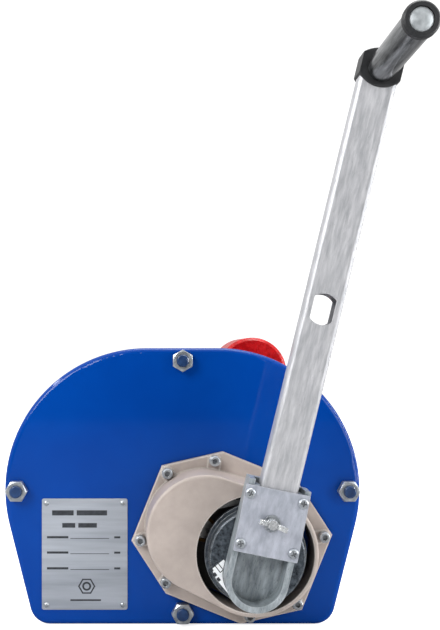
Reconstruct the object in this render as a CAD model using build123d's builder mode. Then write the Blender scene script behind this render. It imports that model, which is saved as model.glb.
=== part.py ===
from build123d import *
from math import acos, asin, atan2, cos, degrees, hypot, pi, radians, sin, sqrt, tan
import os

# Hand winch with an automatic load brake: two pressed side plates joined by tie rods, a rope drum
# between them, a two-stage gear train behind a cast cover, and a long crank that slides in its hub.
# Frame: X to the right, Y from the crank side to the back, Z up. The origin is the middle of the
# four base holes, on the face that the winch stands on. Millimetres.

# ---------------------------------------------------------------- driving dimensions
# Side plates
plate_arc_radius = 140.0  # big round shoulders
plate_arc_height = 132.0  # height of the shoulder centres above the base
plate_top_flat = 70.0
plate_taper = 14.2  # lean of the lower sides, degrees from vertical
plate_corner_radius = 20.0
plate_sheet = 3.0
plate_fold_radius = 5.5
plate_rim_depth = 35.0
frame_depth = 200.0  # over the outer faces of both plates
base_hole_diameter = 13.0
base_hole_spacing = 210.0  # left to right
base_hole_inset = 20.0  # from a plate's outer face

# Tie rods and their nuts (M12)
tie_rod_margin = 12.5  # from the plate's edge to the rod's middle
tie_rod_radius = 8.0
tie_rod_thread_radius = 6.0
tie_rod_shoulder_chamfer = 1.0
tie_rod_stub = 13.0  # beyond the plate's outer face
nut_across_flats = 19.0
nut_height = 10.0
nut_chamfer = 1.2
thread_gap = 0.1  # round a screw in its thread or clearance hole
screw_gap = 0.3

# Gear train
pressure_angle = 25.0
addendum = 0.8  # of the module
dedendum = 1.05
tooth_thinning = 0.3  # taken off each tooth, measured on the pitch circle
first_module = 2.0
crank_pinion_teeth = 12
first_gear_teeth = 38
second_module = 2.5
drum_pinion_teeth = 12
ring_gear_teeth = 44
shaft_radius = 9.0
running_gap = 0.05
bush_radius = 12.0

# Gearbox: its own frame sits at box_centre and slopes box_lean degrees down to the right
box_centre = (47.9, 86.9)
box_lean = 22.0
crank_offset = 20.0  # crank shaft along the box's long axis
gasket_thickness = 0.8
flange_top = 8.0  # all heights are measured ahead of the front plate's outer face
flange_corners = [(39.4, 74.5), (89.6, 39.4)]  # the first quarter of the octagon
cover_top = 51.0
cover_wall = 4.5
cover_face = 5.0
cover_draft = 2.0
gear_bulge_radius = 57.0  # round the intermediate shaft
brake_bulge_radius = 61.0  # round the crank shaft
cover_opening_radius = 55.0
cover_edge_round = 3.0
cover_screw_points = [(44.0, 63.5), (82.0, 35.0)]
pad_radius = 6.2
pad_height = 2.0
cover_screw_radius = 3.0
cover_screw_head_radius = 5.0
cover_screw_head_height = 6.0
spring_washer = 1.6

# Gear case under the cover
case_radius = 50.0
case_wall = 7.0
case_floor = 5.0
case_depth = 19.0
case_lid = 5.0
case_screw_radius = 2.0
case_screw_head_radius = 3.5
case_screw_head_height = 3.6
spigot_gap = 0.1
spigot_wall = 1.9
intermediate_hole_radius = 18.0

# Load brake
brake_start = 24.4
back_flange_radius = 40.0
friction_outer_radius = 39.0
friction_inner_radius = 20.0
friction_thickness = 3.0
back_flange_thickness = 5.6
ratchet_teeth = 16
ratchet_tip_radius = 44.0
ratchet_root_radius = 39.0
ratchet_thickness = 7.0
ratchet_bush_radius = 14.0
hub_lip_radius = 47.5
hub_lip_thickness = 7.0
hub_flange_radius = 44.0
hub_face = 68.0
hub_edge_chamfer = 1.0
pawl_pivot = (50.0, 33.0)  # from the crank axis, in the frame of the tooth face it stops
pawl_pivot_angle = 150.0  # round the crank axis, in the box's frame
pawl_boss_radius = 7.0
pawl_pin_radius = 4.0
pawl_tip_gap = 0.4
pawl_root_gap = 0.9
pawl_hook = [(1.2, 3.0), (5.5, 12.0)]  # hollow side of the hook, from the foot's inner corner
pawl_foot_width = 7.5
pawl_wire_radius = 0.5
pawl_coil_pitch = 1.3
pawl_coil_turns = 1.5
pawl_spring_leg = 12.0

# Crank hub, measured in the crank's own frame: across it and along it from the crank axis
crank_lean = 13.6  # degrees clockwise from vertical
hub_half_width = 28.0
hub_bottom = -43.0
hub_top = 73.0
hub_web = 8.0
hub_wall = 5.5
hub_block_length = 15.0  # of the block round each screw, which also guides the arm
arm_half_width = 17.0
arm_depth = 22.0
arm_wall = 2.0
arm_corner = 4.0
arm_gap = 0.3
hub_plate_centre = 38.6
hub_plate_size = (57.6, 60.0)
hub_plate_skew = 2.2  # the plate sits a little askew on the hub, degrees
hub_plate_thickness = 3.0
hub_plate_corner = 1.0
hub_screw_spacing = (47.6, 45.0)
hub_screw_radius = 2.5
hub_screw_head_radius = 4.7
hub_screw_head_height = 3.0
hub_screw_length = 12.0
wing_bolt_radius = 4.0
wing_bolt_boss_radius = 5.4
wing_bolt_boss_height = 8.0
wing_washer_radius = 7.5
wing_washer_thickness = 1.6
wing_span = 27.0
wing_turn = 5.0  # of the wings from square across the arm, degrees
wing_thickness = 4.6

# Crank arm, cap and grip
arm_start = 12.0
arm_end_margin = 9.5  # beyond the grip's axis
arm_hole_centre = 233.0
arm_hole_size = (20.0, 28.0)
crank_radius = 452.0  # from the crank axis to the grip's
cap_half_width = 18.6
cap_skin = 1.7
cap_lower_side = -7.8  # cap outline along the arm, from the grip's middle
cap_lower_middle = -16.7
cap_upper_side = 11.3
cap_upper_middle = 18.1
grip_pin_radius = 6.0
grip_shoulder_radius = 9.0
grip_shoulder = 3.0
grip_back_head_radius = 9.5
grip_back_head = 4.0
grip_tube_radius = 13.0
grip_tube_wall = 2.0
grip_length = 123.0
grip_ring_radius = 14.5
grip_ring_height = 6.0
grip_bush_length = 10.0
grip_head_radius = 9.5
grip_head_edge = 1.5
grip_head_dome = 2.0
grip_gap = 0.1
part_gap = 0.4  # between pieces that turn past each other

# Drum
drum_barrel_radius = 40.0
drum_barrel_wall = 6.0
drum_flange_radius = 96.0
drum_flange_thickness = 5.0
drum_front_space = 25.0  # from the front plate's inner face to the front flange, for the ring gear
drum_back_space = 17.0  # from the back flange to the rear plate's inner face
drum_hub_radius = 23.0
drum_hub_length = 22.0
drum_end_gap = 5.0  # between the drum's hub and the rear plate
drum_axle_radius = 12.5
drum_axle_end_radius = 8.0
drum_axle_collar_radius = 17.0
drum_bush_radius = 16.0
axle_nut_across_flats = 24.0
axle_nut_height = 13.0
axle_washer_radius = 15.0
axle_washer_thickness = 3.0
axle_stub = 19.0
ring_gear_width = 18.0
ring_gear_radius = 70.0
ring_screw_circle = 64.2
ring_screw_radius = 3.0
ring_screw_count = 6
rope_hole_radius = 4.5
rope_hole_distance = 47.0
clamp_size = (30.0, 16.0)
clamp_distance = 68.0
clamp_thickness = 4.0
clamp_screw_spacing = 18.0
clamp_screw_radius = 2.5

# Pressure roller over the drum
roller_offset = (73.0, -12.0)  # from the top tie rod
roller_radius = 35.4
roller_rim = 3.0
spindle_radius = 7.0
roller_arm_thickness = 5.0
roller_side_space = 34.0  # from a plate's inner face to the frame's arm
roller_end_gap = 1.5
roller_arm_radius = 9.0
cross_tube_radius = 11.5
clip_thickness = 1.2
clip_radius = 10.0

# Label plate and sticker
label_size = (84.0, 109.0)
label_place = (-0.549, 0.256)  # its middle, as parts of the plate's half width and height
label_thickness = 0.8
label_corner = 2.0
rivet_radius = 1.5
rivet_head_radius = 2.6
rivet_head_height = 1.2
rivet_inset = 4.5
sticker_size = (38.0, 16.7)  # along the rim and towards the middle
sticker_thickness = 0.3
sticker_distance = 33.0
sticker_angle = 219.5  # round the crank axis, from the right
sticker_edge_gap = 0.5

thread_point = 1.0  # chamfer at a threaded end
thread_run_out = 2.0  # how far a screw reaches past what it holds
blind_screw_gap = 0.5  # left free at the bottom of a blind thread
recess_depth_share = 0.6  # drive recess depth, as a part of the head's height
cross_span_share = 1.1  # length of a cross recess, as a part of the head's radius
pad_root = 1.0  # how far a screw pad reaches into the flange below it
cover_flange_round = 1.0
shaft_recess = 2.0  # shaft end below the hub's face
first_gear_set_back = 1.6
first_gear_width = 9.0
first_gear_holes = 5
first_gear_hole_radius = 6.0
key_width = 5.0
key_rise = 2.0
drum_pinion_front_gap = 9.0
drum_pinion_back_gap = 2.0
clamp_corner = 3.0
pawl_pin_rise = 6.0  # pin above the pawl
pawl_clip_drop = 2.0  # clip below the pin's end
pawl_clip_lip = 1.0
wing_boss_taper = 8.0
wing_root_radius = 3.0
wing_root_drop = 2.0
wing_height = 9.0

# ---------------------------------------------------------------- derived places
front_face = -frame_depth / 2
back_face = frame_depth / 2
front_inner = front_face + plate_sheet
back_inner = back_face - plate_sheet
drum_front = front_inner + drum_front_space
drum_back = back_inner - drum_back_space
drum_hub_back = back_inner - drum_end_gap
shoulder_x = plate_top_flat / 2
plate_half_width = shoulder_x + plate_arc_radius
plate_height = plate_arc_height + plate_arc_radius
label_centre = (label_place[0] * plate_half_width, label_place[1] * plate_height)
tie_rod_centres = [
    (0.0, plate_height - tie_rod_margin),
    (-plate_half_width + tie_rod_margin, plate_arc_height),
    (plate_half_width - tie_rod_margin, plate_arc_height),
    (0.0, tie_rod_margin),
]
first_distance = first_module * (crank_pinion_teeth + first_gear_teeth) / 2
second_distance = second_module * (ring_gear_teeth - drum_pinion_teeth) / 2


def on_box(along, across):
    """Place (x, z) of a point given in the gearbox's own frame."""
    slope = radians(box_lean)
    x = box_centre[0] + along * cos(slope) + across * sin(slope)
    z = box_centre[1] - along * sin(slope) + across * cos(slope)
    return (x, z)


intermediate_offset = crank_offset - first_distance
crank_axis = on_box(crank_offset, 0)
intermediate_axis = on_box(intermediate_offset, 0)
drum_axis = (0.0, intermediate_axis[1] + sqrt(second_distance**2 - intermediate_axis[0] ** 2))
tooth_face_angle = pawl_pivot_angle - degrees(atan2(pawl_pivot[1], pawl_pivot[0]))
pawl_axis = on_box(
    crank_offset + hypot(*pawl_pivot) * cos(radians(pawl_pivot_angle)),
    hypot(*pawl_pivot) * sin(radians(pawl_pivot_angle)),
)
arm_end = crank_radius + arm_end_margin
arm_back = hub_face + hub_web + arm_gap
arm_front = arm_back + arm_depth
hub_plate_back = arm_front + arm_gap
hub_plate_front = hub_plate_back + hub_plate_thickness
ratchet_start = brake_start + back_flange_thickness + friction_thickness
hub_start = ratchet_start + ratchet_thickness + friction_thickness
case_top = case_depth + case_lid
plate_bore_radius = bush_radius + spigot_wall + spigot_gap


def facing(y, centre=(0.0, 0.0), lean=0.0):
    """Plane at depth y that looks at the crank side, turned lean degrees clockwise."""
    turn = radians(lean)
    return Plane(origin=(centre[0], y, centre[1]), x_dir=(cos(turn), 0, -sin(turn)), z_dir=(0, -1, 0))


def ahead(height, centre=(0.0, 0.0), lean=0.0):
    """The same plane, placed by its height ahead of the front plate's outer face."""
    return facing(front_face - height, centre, lean)


def on_gearbox(height):
    return ahead(height, box_centre, box_lean)


def on_crank(height):
    return ahead(height, crank_axis, crank_lean)


def lathe(centre):
    """Plane for turned profiles: x is the radius from the axis at centre, y is the depth."""
    return Plane(origin=(centre[0], 0, centre[1]), x_dir=(1, 0, 0), z_dir=(0, 0, 1))


def spin(centre):
    return Axis((centre[0], 0, centre[1]), (0, 1, 0))


def depth(height):
    return front_face - height


def quarter_turns(points):
    """The four mirror images of points given in the first quarter."""
    return [(sx * x, sy * y) for x, y in points for sx in (1, -1) for sy in (1, -1)]


def polar(radius, angle):
    return (radius * cos(radians(angle)), radius * sin(radians(angle)))


def dome_middle(edge_radius, edge_y, rise):
    """Middle point, in a lathe plane, of a round dome that stands rise ahead of its edge."""
    sphere = (edge_radius**2 + rise**2) / (2 * rise)
    half_sweep = asin(edge_radius / sphere) / 2
    return (sphere * sin(half_sweep), edge_y - rise + sphere * (1 - cos(half_sweep)))


# ---------------------------------------------------------------- shared shapes
def ring(label, height, thickness, centre, outer, inner):
    """A flat ring from height to height + thickness ahead of the front plate."""
    with BuildPart() as piece:
        with BuildSketch(ahead(height, centre)):
            Circle(outer)
            Circle(inner, mode=Mode.SUBTRACT)
        extrude(amount=thickness)
    piece.part.label = label
    return piece


def hex_nut(across_flats, height, bore, chamfer_height):
    """Nut standing on the XY plane, its outer corners turned off."""
    corner = across_flats / sqrt(3)
    with BuildPart() as nut:
        with BuildSketch():
            RegularPolygon(across_flats / 2, 6, major_radius=False)
            Circle(bore, mode=Mode.SUBTRACT)
        extrude(amount=height)
        with BuildSketch(Plane.XZ):
            with BuildLine():
                Polyline(
                    (0, 0),
                    (corner, 0),
                    (corner, height - chamfer_height),
                    (across_flats / 2 - chamfer_height / 2, height),
                    (0, height),
                    close=True,
                )
            make_face()
        revolve(axis=Axis.Z, mode=Mode.INTERSECT)
    return nut.part


def socket_screw(radius, length, head_radius, head_height):
    """Socket cap screw: the head stands on the XY plane and the shank runs down from it."""
    with BuildPart() as screw:
        with BuildSketch():
            Circle(head_radius)
        extrude(amount=head_height)
        chamfer(screw.edges().sort_by(Axis.Z)[-1], head_height / 10)
        with BuildSketch():
            Circle(radius)
        extrude(amount=-length)
        with BuildSketch(Plane.XY.offset(head_height)):
            RegularPolygon(head_radius / 2, 6, major_radius=False)
        extrude(amount=-head_height * recess_depth_share, mode=Mode.SUBTRACT)
    return screw.part


def pan_screw(radius, length, head_radius, head_height):
    """Pan-head screw with a cross recess."""
    with BuildPart() as screw:
        with BuildSketch():
            Circle(head_radius)
        extrude(amount=head_height)
        fillet(screw.edges().sort_by(Axis.Z)[-1], head_height * 0.6)
        with BuildSketch():
            Circle(radius)
        extrude(amount=-length)
        with BuildSketch(Plane.XY.offset(head_height)):
            Rectangle(head_radius * cross_span_share, head_radius / 4)
            Rectangle(head_radius / 4, head_radius * cross_span_share)
        extrude(amount=-head_height * recess_depth_share, mode=Mode.SUBTRACT)
    return screw.part


def involute(angle):
    return tan(angle) - angle


def lobe_outline(teeth, module, inner, outer, pitch_width, first_angle):
    """Closed outline of involute lobes that are pitch_width wide on the pitch circle."""
    pitch = teeth * module / 2
    base = pitch * cos(radians(pressure_angle))
    lowest = max(base, inner)
    flank_steps = 4

    def half_angle(radius):
        slope = acos(min(1.0, base / radius))
        return degrees(pitch_width / 2 / pitch + involute(radians(pressure_angle)) - involute(slope))

    radii = [lowest + (outer - lowest) * step / flank_steps for step in range(flank_steps + 1)]
    with BuildSketch() as profile:
        with BuildLine():
            for tooth in range(teeth):
                middle = first_angle + 360 * tooth / teeth
                following = middle + 360 / teeth
                rise = [polar(radius, middle - half_angle(radius)) for radius in radii]
                fall = [polar(radius, middle + half_angle(radius)) for radius in reversed(radii)]
                root_end = polar(inner, middle + half_angle(lowest))
                root_start = polar(inner, following - half_angle(lowest))
                if inner < base:
                    Line(polar(inner, middle - half_angle(lowest)), rise[0])
                    Line(fall[-1], root_end)
                Spline(*rise)
                ThreePointArc(rise[-1], polar(outer, middle), fall[0])
                Spline(*fall)
                ThreePointArc(root_end, polar(inner, middle + 180 / teeth), root_start)
        make_face()
    return profile.sketch


def gear_outline(teeth, module, first_angle):
    pitch = teeth * module / 2
    width = pi * module / 2 - tooth_thinning
    return lobe_outline(
        teeth, module, pitch - dedendum * module, pitch + addendum * module, width, first_angle
    )


def inner_gear_outline(teeth, module, first_angle):
    """Outline of the hole in an internal gear, with a tooth space at first_angle."""
    pitch = teeth * module / 2
    width = pi * module / 2 + tooth_thinning
    return lobe_outline(
        teeth, module, pitch - addendum * module, pitch + dedendum * module, width, first_angle
    )


# ---------------------------------------------------------------- side plates
with BuildSketch() as plate_outline:
    with BuildLine():
        Line((-shoulder_x, plate_height), (shoulder_x, plate_height))
        right_arc = CenterArc((shoulder_x, plate_arc_height), plate_arc_radius, 90, -90 - plate_taper)
        foot = (right_arc @ 1).X - (right_arc @ 1).Y * tan(radians(plate_taper))
        Line(right_arc @ 1, (foot, 0))
        Line((foot, 0), (-foot, 0))
        left_arc = CenterArc((-shoulder_x, plate_arc_height), plate_arc_radius, 90, 90 + plate_taper)
        Line((-foot, 0), left_arc @ 1)
    make_face()
    fillet(plate_outline.vertices().group_by(Axis.Y)[0], plate_corner_radius)

base_hole_y = frame_depth / 2 - base_hole_inset
case_centre_offset = (crank_offset + intermediate_offset) / 2
case_screw_distance = case_radius - case_wall / 2
case_screw_points = [
    (offset + polar(case_screw_distance, angle)[0], polar(case_screw_distance, angle)[1])
    for offset, angles in ((crank_offset, (-70, 0, 70)), (intermediate_offset, (110, 180, 250)))
    for angle in angles
]
cover_screws_at = quarter_turns(cover_screw_points)
rivet_spread = (label_size[0] / 2 - rivet_inset, label_size[1] / 2 - rivet_inset)
rivet_centres = [(label_centre[0] + x, label_centre[1] + z) for x, z in quarter_turns([rivet_spread])]

with BuildPart() as front_side_plate:
    with BuildSketch(facing(front_face)):
        add(plate_outline.sketch)
    extrude(amount=-plate_rim_depth)
    fillet(front_side_plate.faces().sort_by(Axis.Y)[0].edges(), plate_fold_radius)
    rim_mouth = front_side_plate.faces().sort_by(Axis.Y)[-1]
    offset(amount=-plate_sheet, openings=rim_mouth)
    with BuildSketch(facing(front_face)):
        with Locations(*tie_rod_centres):
            Circle(tie_rod_thread_radius + thread_gap)
        with Locations(drum_axis):
            Circle(drum_axle_end_radius + thread_gap)
        with Locations(intermediate_axis):
            Circle(intermediate_hole_radius)
        with Locations(crank_axis):
            Circle(plate_bore_radius)
        with Locations(*rivet_centres):
            Circle(rivet_radius + thread_gap)
        with Locations(*[on_box(*point) for point in cover_screws_at]):
            Circle(cover_screw_radius + thread_gap)
        with Locations(*[on_box(*point) for point in case_screw_points]):
            Circle(case_screw_radius + thread_gap)
    extrude(amount=-plate_sheet, mode=Mode.SUBTRACT)
    with BuildSketch(Plane.XY):
        with Locations((-base_hole_spacing / 2, -base_hole_y), (base_hole_spacing / 2, -base_hole_y)):
            Circle(base_hole_diameter / 2)
    extrude(amount=plate_sheet, mode=Mode.SUBTRACT)
front_side_plate.part.label = "front_side_plate"

with BuildPart() as rear_side_plate:
    with BuildSketch(facing(back_face)):
        add(plate_outline.sketch)
    extrude(amount=plate_rim_depth)
    fillet(rear_side_plate.faces().sort_by(Axis.Y)[-1].edges(), plate_fold_radius)
    rim_mouth = rear_side_plate.faces().sort_by(Axis.Y)[0]
    offset(amount=-plate_sheet, openings=rim_mouth)
    with BuildSketch(facing(back_face)):
        with Locations(*tie_rod_centres):
            Circle(tie_rod_thread_radius + thread_gap)
        with Locations(drum_axis):
            Circle(drum_axle_end_radius + thread_gap)
    extrude(amount=plate_sheet, mode=Mode.SUBTRACT)
    with BuildSketch(Plane.XY):
        with Locations((-base_hole_spacing / 2, base_hole_y), (base_hole_spacing / 2, base_hole_y)):
            Circle(base_hole_diameter / 2)
    extrude(amount=plate_sheet, mode=Mode.SUBTRACT)
rear_side_plate.part.label = "rear_side_plate"

# ---------------------------------------------------------------- tie rods and nuts
shoulder_face_radius = tie_rod_radius - tie_rod_shoulder_chamfer
with BuildPart() as tie_rods:
    for centre in tie_rod_centres:
        with BuildSketch(lathe(centre)):
            with BuildLine():
                Polyline(
                    (0, front_face - tie_rod_stub),
                    (tie_rod_thread_radius - thread_point, front_face - tie_rod_stub),
                    (tie_rod_thread_radius, front_face - tie_rod_stub + thread_point),
                    (tie_rod_thread_radius, front_inner),
                    (shoulder_face_radius, front_inner),
                    (tie_rod_radius, front_inner + tie_rod_shoulder_chamfer),
                    (tie_rod_radius, back_inner - tie_rod_shoulder_chamfer),
                    (shoulder_face_radius, back_inner),
                    (tie_rod_thread_radius, back_inner),
                    (tie_rod_thread_radius, back_face + tie_rod_stub - thread_point),
                    (tie_rod_thread_radius - thread_point, back_face + tie_rod_stub),
                    (0, back_face + tie_rod_stub),
                    close=True,
                )
            make_face()
        revolve(axis=spin(centre))
tie_rods.part.label = "tie_rods"

tie_nut = hex_nut(nut_across_flats, nut_height, tie_rod_thread_radius + thread_gap, nut_chamfer)
with BuildPart() as tie_rod_nuts:
    for centre in tie_rod_centres:
        turned = 30 if centre == tie_rod_centres[0] else 0
        with Locations(ahead(0, centre, turned)):
            add(tie_nut)
        back_seat = Plane(origin=(centre[0], back_face, centre[1]), x_dir=(1, 0, 0), z_dir=(0, 1, 0))
        with Locations(back_seat):
            add(tie_nut)
tie_rod_nuts.part.label = "tie_rod_nuts"

# ---------------------------------------------------------------- gearbox cover
flange_outline = [
    (flange_corners[0][0], flange_corners[0][1]),
    (flange_corners[1][0], flange_corners[1][1]),
    (flange_corners[1][0], -flange_corners[1][1]),
    (flange_corners[0][0], -flange_corners[0][1]),
    (-flange_corners[0][0], -flange_corners[0][1]),
    (-flange_corners[1][0], -flange_corners[1][1]),
    (-flange_corners[1][0], flange_corners[1][1]),
    (-flange_corners[0][0], flange_corners[0][1]),
]


def bulge_outline(inset):
    """The cover's body: one outline round both shafts."""
    with BuildSketch() as outline:
        with Locations((intermediate_offset, 0)):
            Circle(gear_bulge_radius - inset)
        with Locations((crank_offset, 0)):
            Circle(brake_bulge_radius - inset)
        make_hull()
    return outline.sketch


with BuildPart() as gearbox_cover:
    with BuildSketch(on_gearbox(gasket_thickness)):
        with BuildLine():
            Polyline(*flange_outline, close=True)
        make_face()
    extrude(amount=flange_top - gasket_thickness)
    flange_rim = gearbox_cover.faces().sort_by(Axis.Y)[0].edges()
    fillet(flange_rim, cover_flange_round)
    with BuildSketch(on_gearbox(gasket_thickness)):
        add(bulge_outline(0))
    extrude(amount=cover_top - gasket_thickness, taper=cover_draft)
    fillet(gearbox_cover.faces().sort_by(Axis.Y)[0].edges(), cover_edge_round)
    for along, across in cover_screws_at:
        bulge = crank_offset if along > 0 else intermediate_offset
        bulge_radius = brake_bulge_radius if along > 0 else gear_bulge_radius
        inward = degrees(atan2(-across, bulge - along))
        reach = hypot(bulge - along, across) - bulge_radius + cover_wall / 2
        with BuildSketch(on_gearbox(flange_top - pad_root)):
            with Locations((along, across)):
                Circle(pad_radius)
            with Locations(Location((along, across, 0), (0, 0, inward))):
                Rectangle(reach, 2 * pad_radius, align=(Align.MIN, Align.CENTER))
        extrude(amount=pad_height + pad_root)
    with BuildSketch(on_gearbox(gasket_thickness)):
        add(bulge_outline(cover_wall))
    extrude(amount=cover_top - cover_face - gasket_thickness, taper=cover_draft, mode=Mode.SUBTRACT)
    with BuildSketch(on_gearbox(0)):
        with Locations((crank_offset, 0)):
            Circle(cover_opening_radius)
    extrude(amount=cover_top, mode=Mode.SUBTRACT)
    with BuildSketch(on_gearbox(0)):
        with Locations(*cover_screws_at):
            Circle(cover_screw_radius + screw_gap)
    extrude(amount=cover_top, mode=Mode.SUBTRACT)
gearbox_cover.part.label = "gearbox_cover"

with BuildPart() as cover_gasket:
    with BuildSketch(on_gearbox(0)):
        with BuildLine():
            Polyline(*flange_outline, close=True)
        make_face()
        add(bulge_outline(cover_wall), mode=Mode.SUBTRACT)
        with Locations(*cover_screws_at):
            Circle(cover_screw_radius + screw_gap, mode=Mode.SUBTRACT)
    extrude(amount=gasket_thickness)
cover_gasket.part.label = "cover_gasket"

washer_bottom = flange_top + pad_height
screw_seat = washer_bottom + spring_washer
cover_screw = socket_screw(
    cover_screw_radius,
    screw_seat + plate_sheet + thread_run_out,
    cover_screw_head_radius,
    cover_screw_head_height,
)
with BuildPart() as cover_screws:
    with Locations(*[ahead(screw_seat, on_box(*point), box_lean) for point in cover_screws_at]):
        add(cover_screw)
cover_screws.part.label = "cover_screws"

with BuildPart() as cover_spring_washers:
    with BuildSketch(on_gearbox(washer_bottom)):
        with Locations(*cover_screws_at):
            Circle(cover_screw_head_radius + 0.3)
            Circle(cover_screw_radius + thread_gap, mode=Mode.SUBTRACT)
    extrude(amount=spring_washer)
cover_spring_washers.part.label = "cover_spring_washers"

# ---------------------------------------------------------------- gear case
with BuildPart() as gear_case:
    with BuildSketch(on_gearbox(0)):
        with Locations((case_centre_offset, 0)):
            SlotCenterToCenter(first_distance, 2 * case_radius)
    extrude(amount=case_depth)
    with BuildSketch(on_gearbox(case_floor)):
        with Locations((case_centre_offset, 0)):
            SlotCenterToCenter(first_distance, 2 * (case_radius - case_wall))
    extrude(amount=case_depth, mode=Mode.SUBTRACT)
    with BuildSketch(on_gearbox(0)):
        with Locations((crank_offset, 0)):
            Circle(plate_bore_radius - spigot_gap)
        with Locations((intermediate_offset, 0)):
            Circle(intermediate_hole_radius - spigot_gap)
    extrude(amount=-plate_sheet)
    with BuildSketch(on_gearbox(-plate_sheet)):
        with Locations((crank_offset, 0), (intermediate_offset, 0)):
            Circle(bush_radius)
    extrude(amount=plate_sheet + case_floor, mode=Mode.SUBTRACT)
    with BuildSketch(on_gearbox(0)):
        with Locations(*case_screw_points):
            Circle(case_screw_radius + thread_gap)
    extrude(amount=case_depth, mode=Mode.SUBTRACT)
    with BuildSketch(facing(front_face)):
        with Locations(drum_axis):
            Circle(drum_axle_end_radius + thread_gap)
    extrude(amount=case_floor, mode=Mode.SUBTRACT)
gear_case.part.label = "gear_case"

with BuildPart() as gear_case_lid:
    with BuildSketch(on_gearbox(case_depth)):
        with Locations((case_centre_offset, 0)):
            SlotCenterToCenter(first_distance, 2 * case_radius)
        with Locations((crank_offset, 0), (intermediate_offset, 0)):
            Circle(bush_radius, mode=Mode.SUBTRACT)
        with Locations(*case_screw_points):
            Circle(case_screw_radius + thread_gap, mode=Mode.SUBTRACT)
    extrude(amount=case_lid)
    with BuildSketch(ahead(case_depth, pawl_axis)):
        Circle(pawl_pin_radius)
    extrude(amount=case_lid, mode=Mode.SUBTRACT)
gear_case_lid.part.label = "gear_case_lid"

case_screw = socket_screw(
    case_screw_radius, case_top + plate_sheet + thread_run_out, case_screw_head_radius, case_screw_head_height
)
with BuildPart() as gear_case_screws:
    with Locations(*[ahead(case_top, on_box(*point), box_lean) for point in case_screw_points]):
        add(case_screw)
gear_case_screws.part.label = "gear_case_screws"


def bush_pair(label, centre):
    """Bronze bushes in the case's floor and in its lid."""
    with BuildPart() as bushes:
        with BuildSketch(ahead(-plate_sheet, centre)):
            Circle(bush_radius)
            Circle(shaft_radius + running_gap, mode=Mode.SUBTRACT)
        extrude(amount=plate_sheet + case_floor)
        with BuildSketch(ahead(case_depth, centre)):
            Circle(bush_radius)
            Circle(shaft_radius + running_gap, mode=Mode.SUBTRACT)
        extrude(amount=case_lid)
    bushes.part.label = label
    return bushes


crank_shaft_bushes = bush_pair("crank_shaft_bushes", crank_axis)
intermediate_bushes = bush_pair("intermediate_bushes", intermediate_axis)

# ---------------------------------------------------------------- gears and shafts
crank_to_gear = degrees(
    atan2(intermediate_axis[1] - crank_axis[1], intermediate_axis[0] - crank_axis[0])
)
drum_to_pinion = degrees(
    atan2(intermediate_axis[1] - drum_axis[1], intermediate_axis[0] - drum_axis[0])
)
pinion_start = case_floor + part_gap
pinion_end = case_depth - part_gap
shaft_end = hub_face - shaft_recess

with BuildPart() as crank_shaft:
    with BuildSketch(ahead(-plate_sheet, crank_axis)):
        Circle(shaft_radius)
    extrude(amount=plate_sheet + shaft_end)
    with BuildSketch(ahead(pinion_start, crank_axis)):
        add(gear_outline(crank_pinion_teeth, first_module, crank_to_gear))
    extrude(amount=pinion_end - pinion_start)
crank_shaft.part.label = "crank_shaft"

first_gear_start = pinion_start + first_gear_set_back
gear_phase = crank_to_gear + 180 + 180 / first_gear_teeth
with BuildPart() as first_stage_gear:
    with BuildSketch(ahead(first_gear_start, intermediate_axis)):
        add(gear_outline(first_gear_teeth, first_module, gear_phase))
        Circle(shaft_radius, mode=Mode.SUBTRACT)
        Rectangle(
            key_width, shaft_radius + key_rise, align=(Align.CENTER, Align.MIN), mode=Mode.SUBTRACT
        )
        with PolarLocations(first_gear_teeth * first_module / 2 * 0.6, first_gear_holes):
            Circle(first_gear_hole_radius, mode=Mode.SUBTRACT)
    extrude(amount=first_gear_width)
first_stage_gear.part.label = "first_stage_gear"

with BuildPart() as gear_key:
    with BuildSketch(ahead(first_gear_start, intermediate_axis)):
        Rectangle(key_width, shaft_radius + key_rise, align=(Align.CENTER, Align.MIN))
        Rectangle(
            key_width, shaft_radius - key_rise, align=(Align.CENTER, Align.MIN), mode=Mode.SUBTRACT
        )
    extrude(amount=first_gear_width)
gear_key.part.label = "gear_key"

drum_pinion_front = front_inner + drum_pinion_front_gap
drum_pinion_back = drum_front - drum_pinion_back_gap
with BuildPart() as intermediate_shaft:
    with BuildSketch(facing(drum_pinion_back, intermediate_axis)):
        Circle(shaft_radius)
    extrude(amount=drum_pinion_back - depth(case_top - 1))
    with BuildSketch(facing(drum_pinion_back, intermediate_axis)):
        add(gear_outline(drum_pinion_teeth, second_module, drum_to_pinion))
    extrude(amount=drum_pinion_back - drum_pinion_front)
    with BuildSketch(facing(drum_pinion_front, intermediate_axis)):
        Circle(bush_radius)
    extrude(amount=drum_pinion_front - front_inner - part_gap)
    with BuildSketch(ahead(first_gear_start, intermediate_axis)):
        with Locations((0, shaft_radius - key_rise)):
            Rectangle(key_width, 2 * key_rise, align=(Align.CENTER, Align.MIN))
    extrude(amount=first_gear_width, mode=Mode.SUBTRACT)
intermediate_shaft.part.label = "intermediate_shaft"

ring_gear_front = drum_front - ring_gear_width
ring_screw_angles = [30 + 360 * n / ring_screw_count for n in range(ring_screw_count)]
with BuildPart() as ring_gear:
    with BuildSketch(facing(drum_front, drum_axis)):
        Circle(ring_gear_radius)
        add(
            inner_gear_outline(ring_gear_teeth, second_module, drum_to_pinion), mode=Mode.SUBTRACT
        )
        with Locations(*[polar(ring_screw_circle, angle) for angle in ring_screw_angles]):
            Circle(ring_screw_radius + thread_gap, mode=Mode.SUBTRACT)
    extrude(amount=ring_gear_width)
ring_gear.part.label = "ring_gear"

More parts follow.
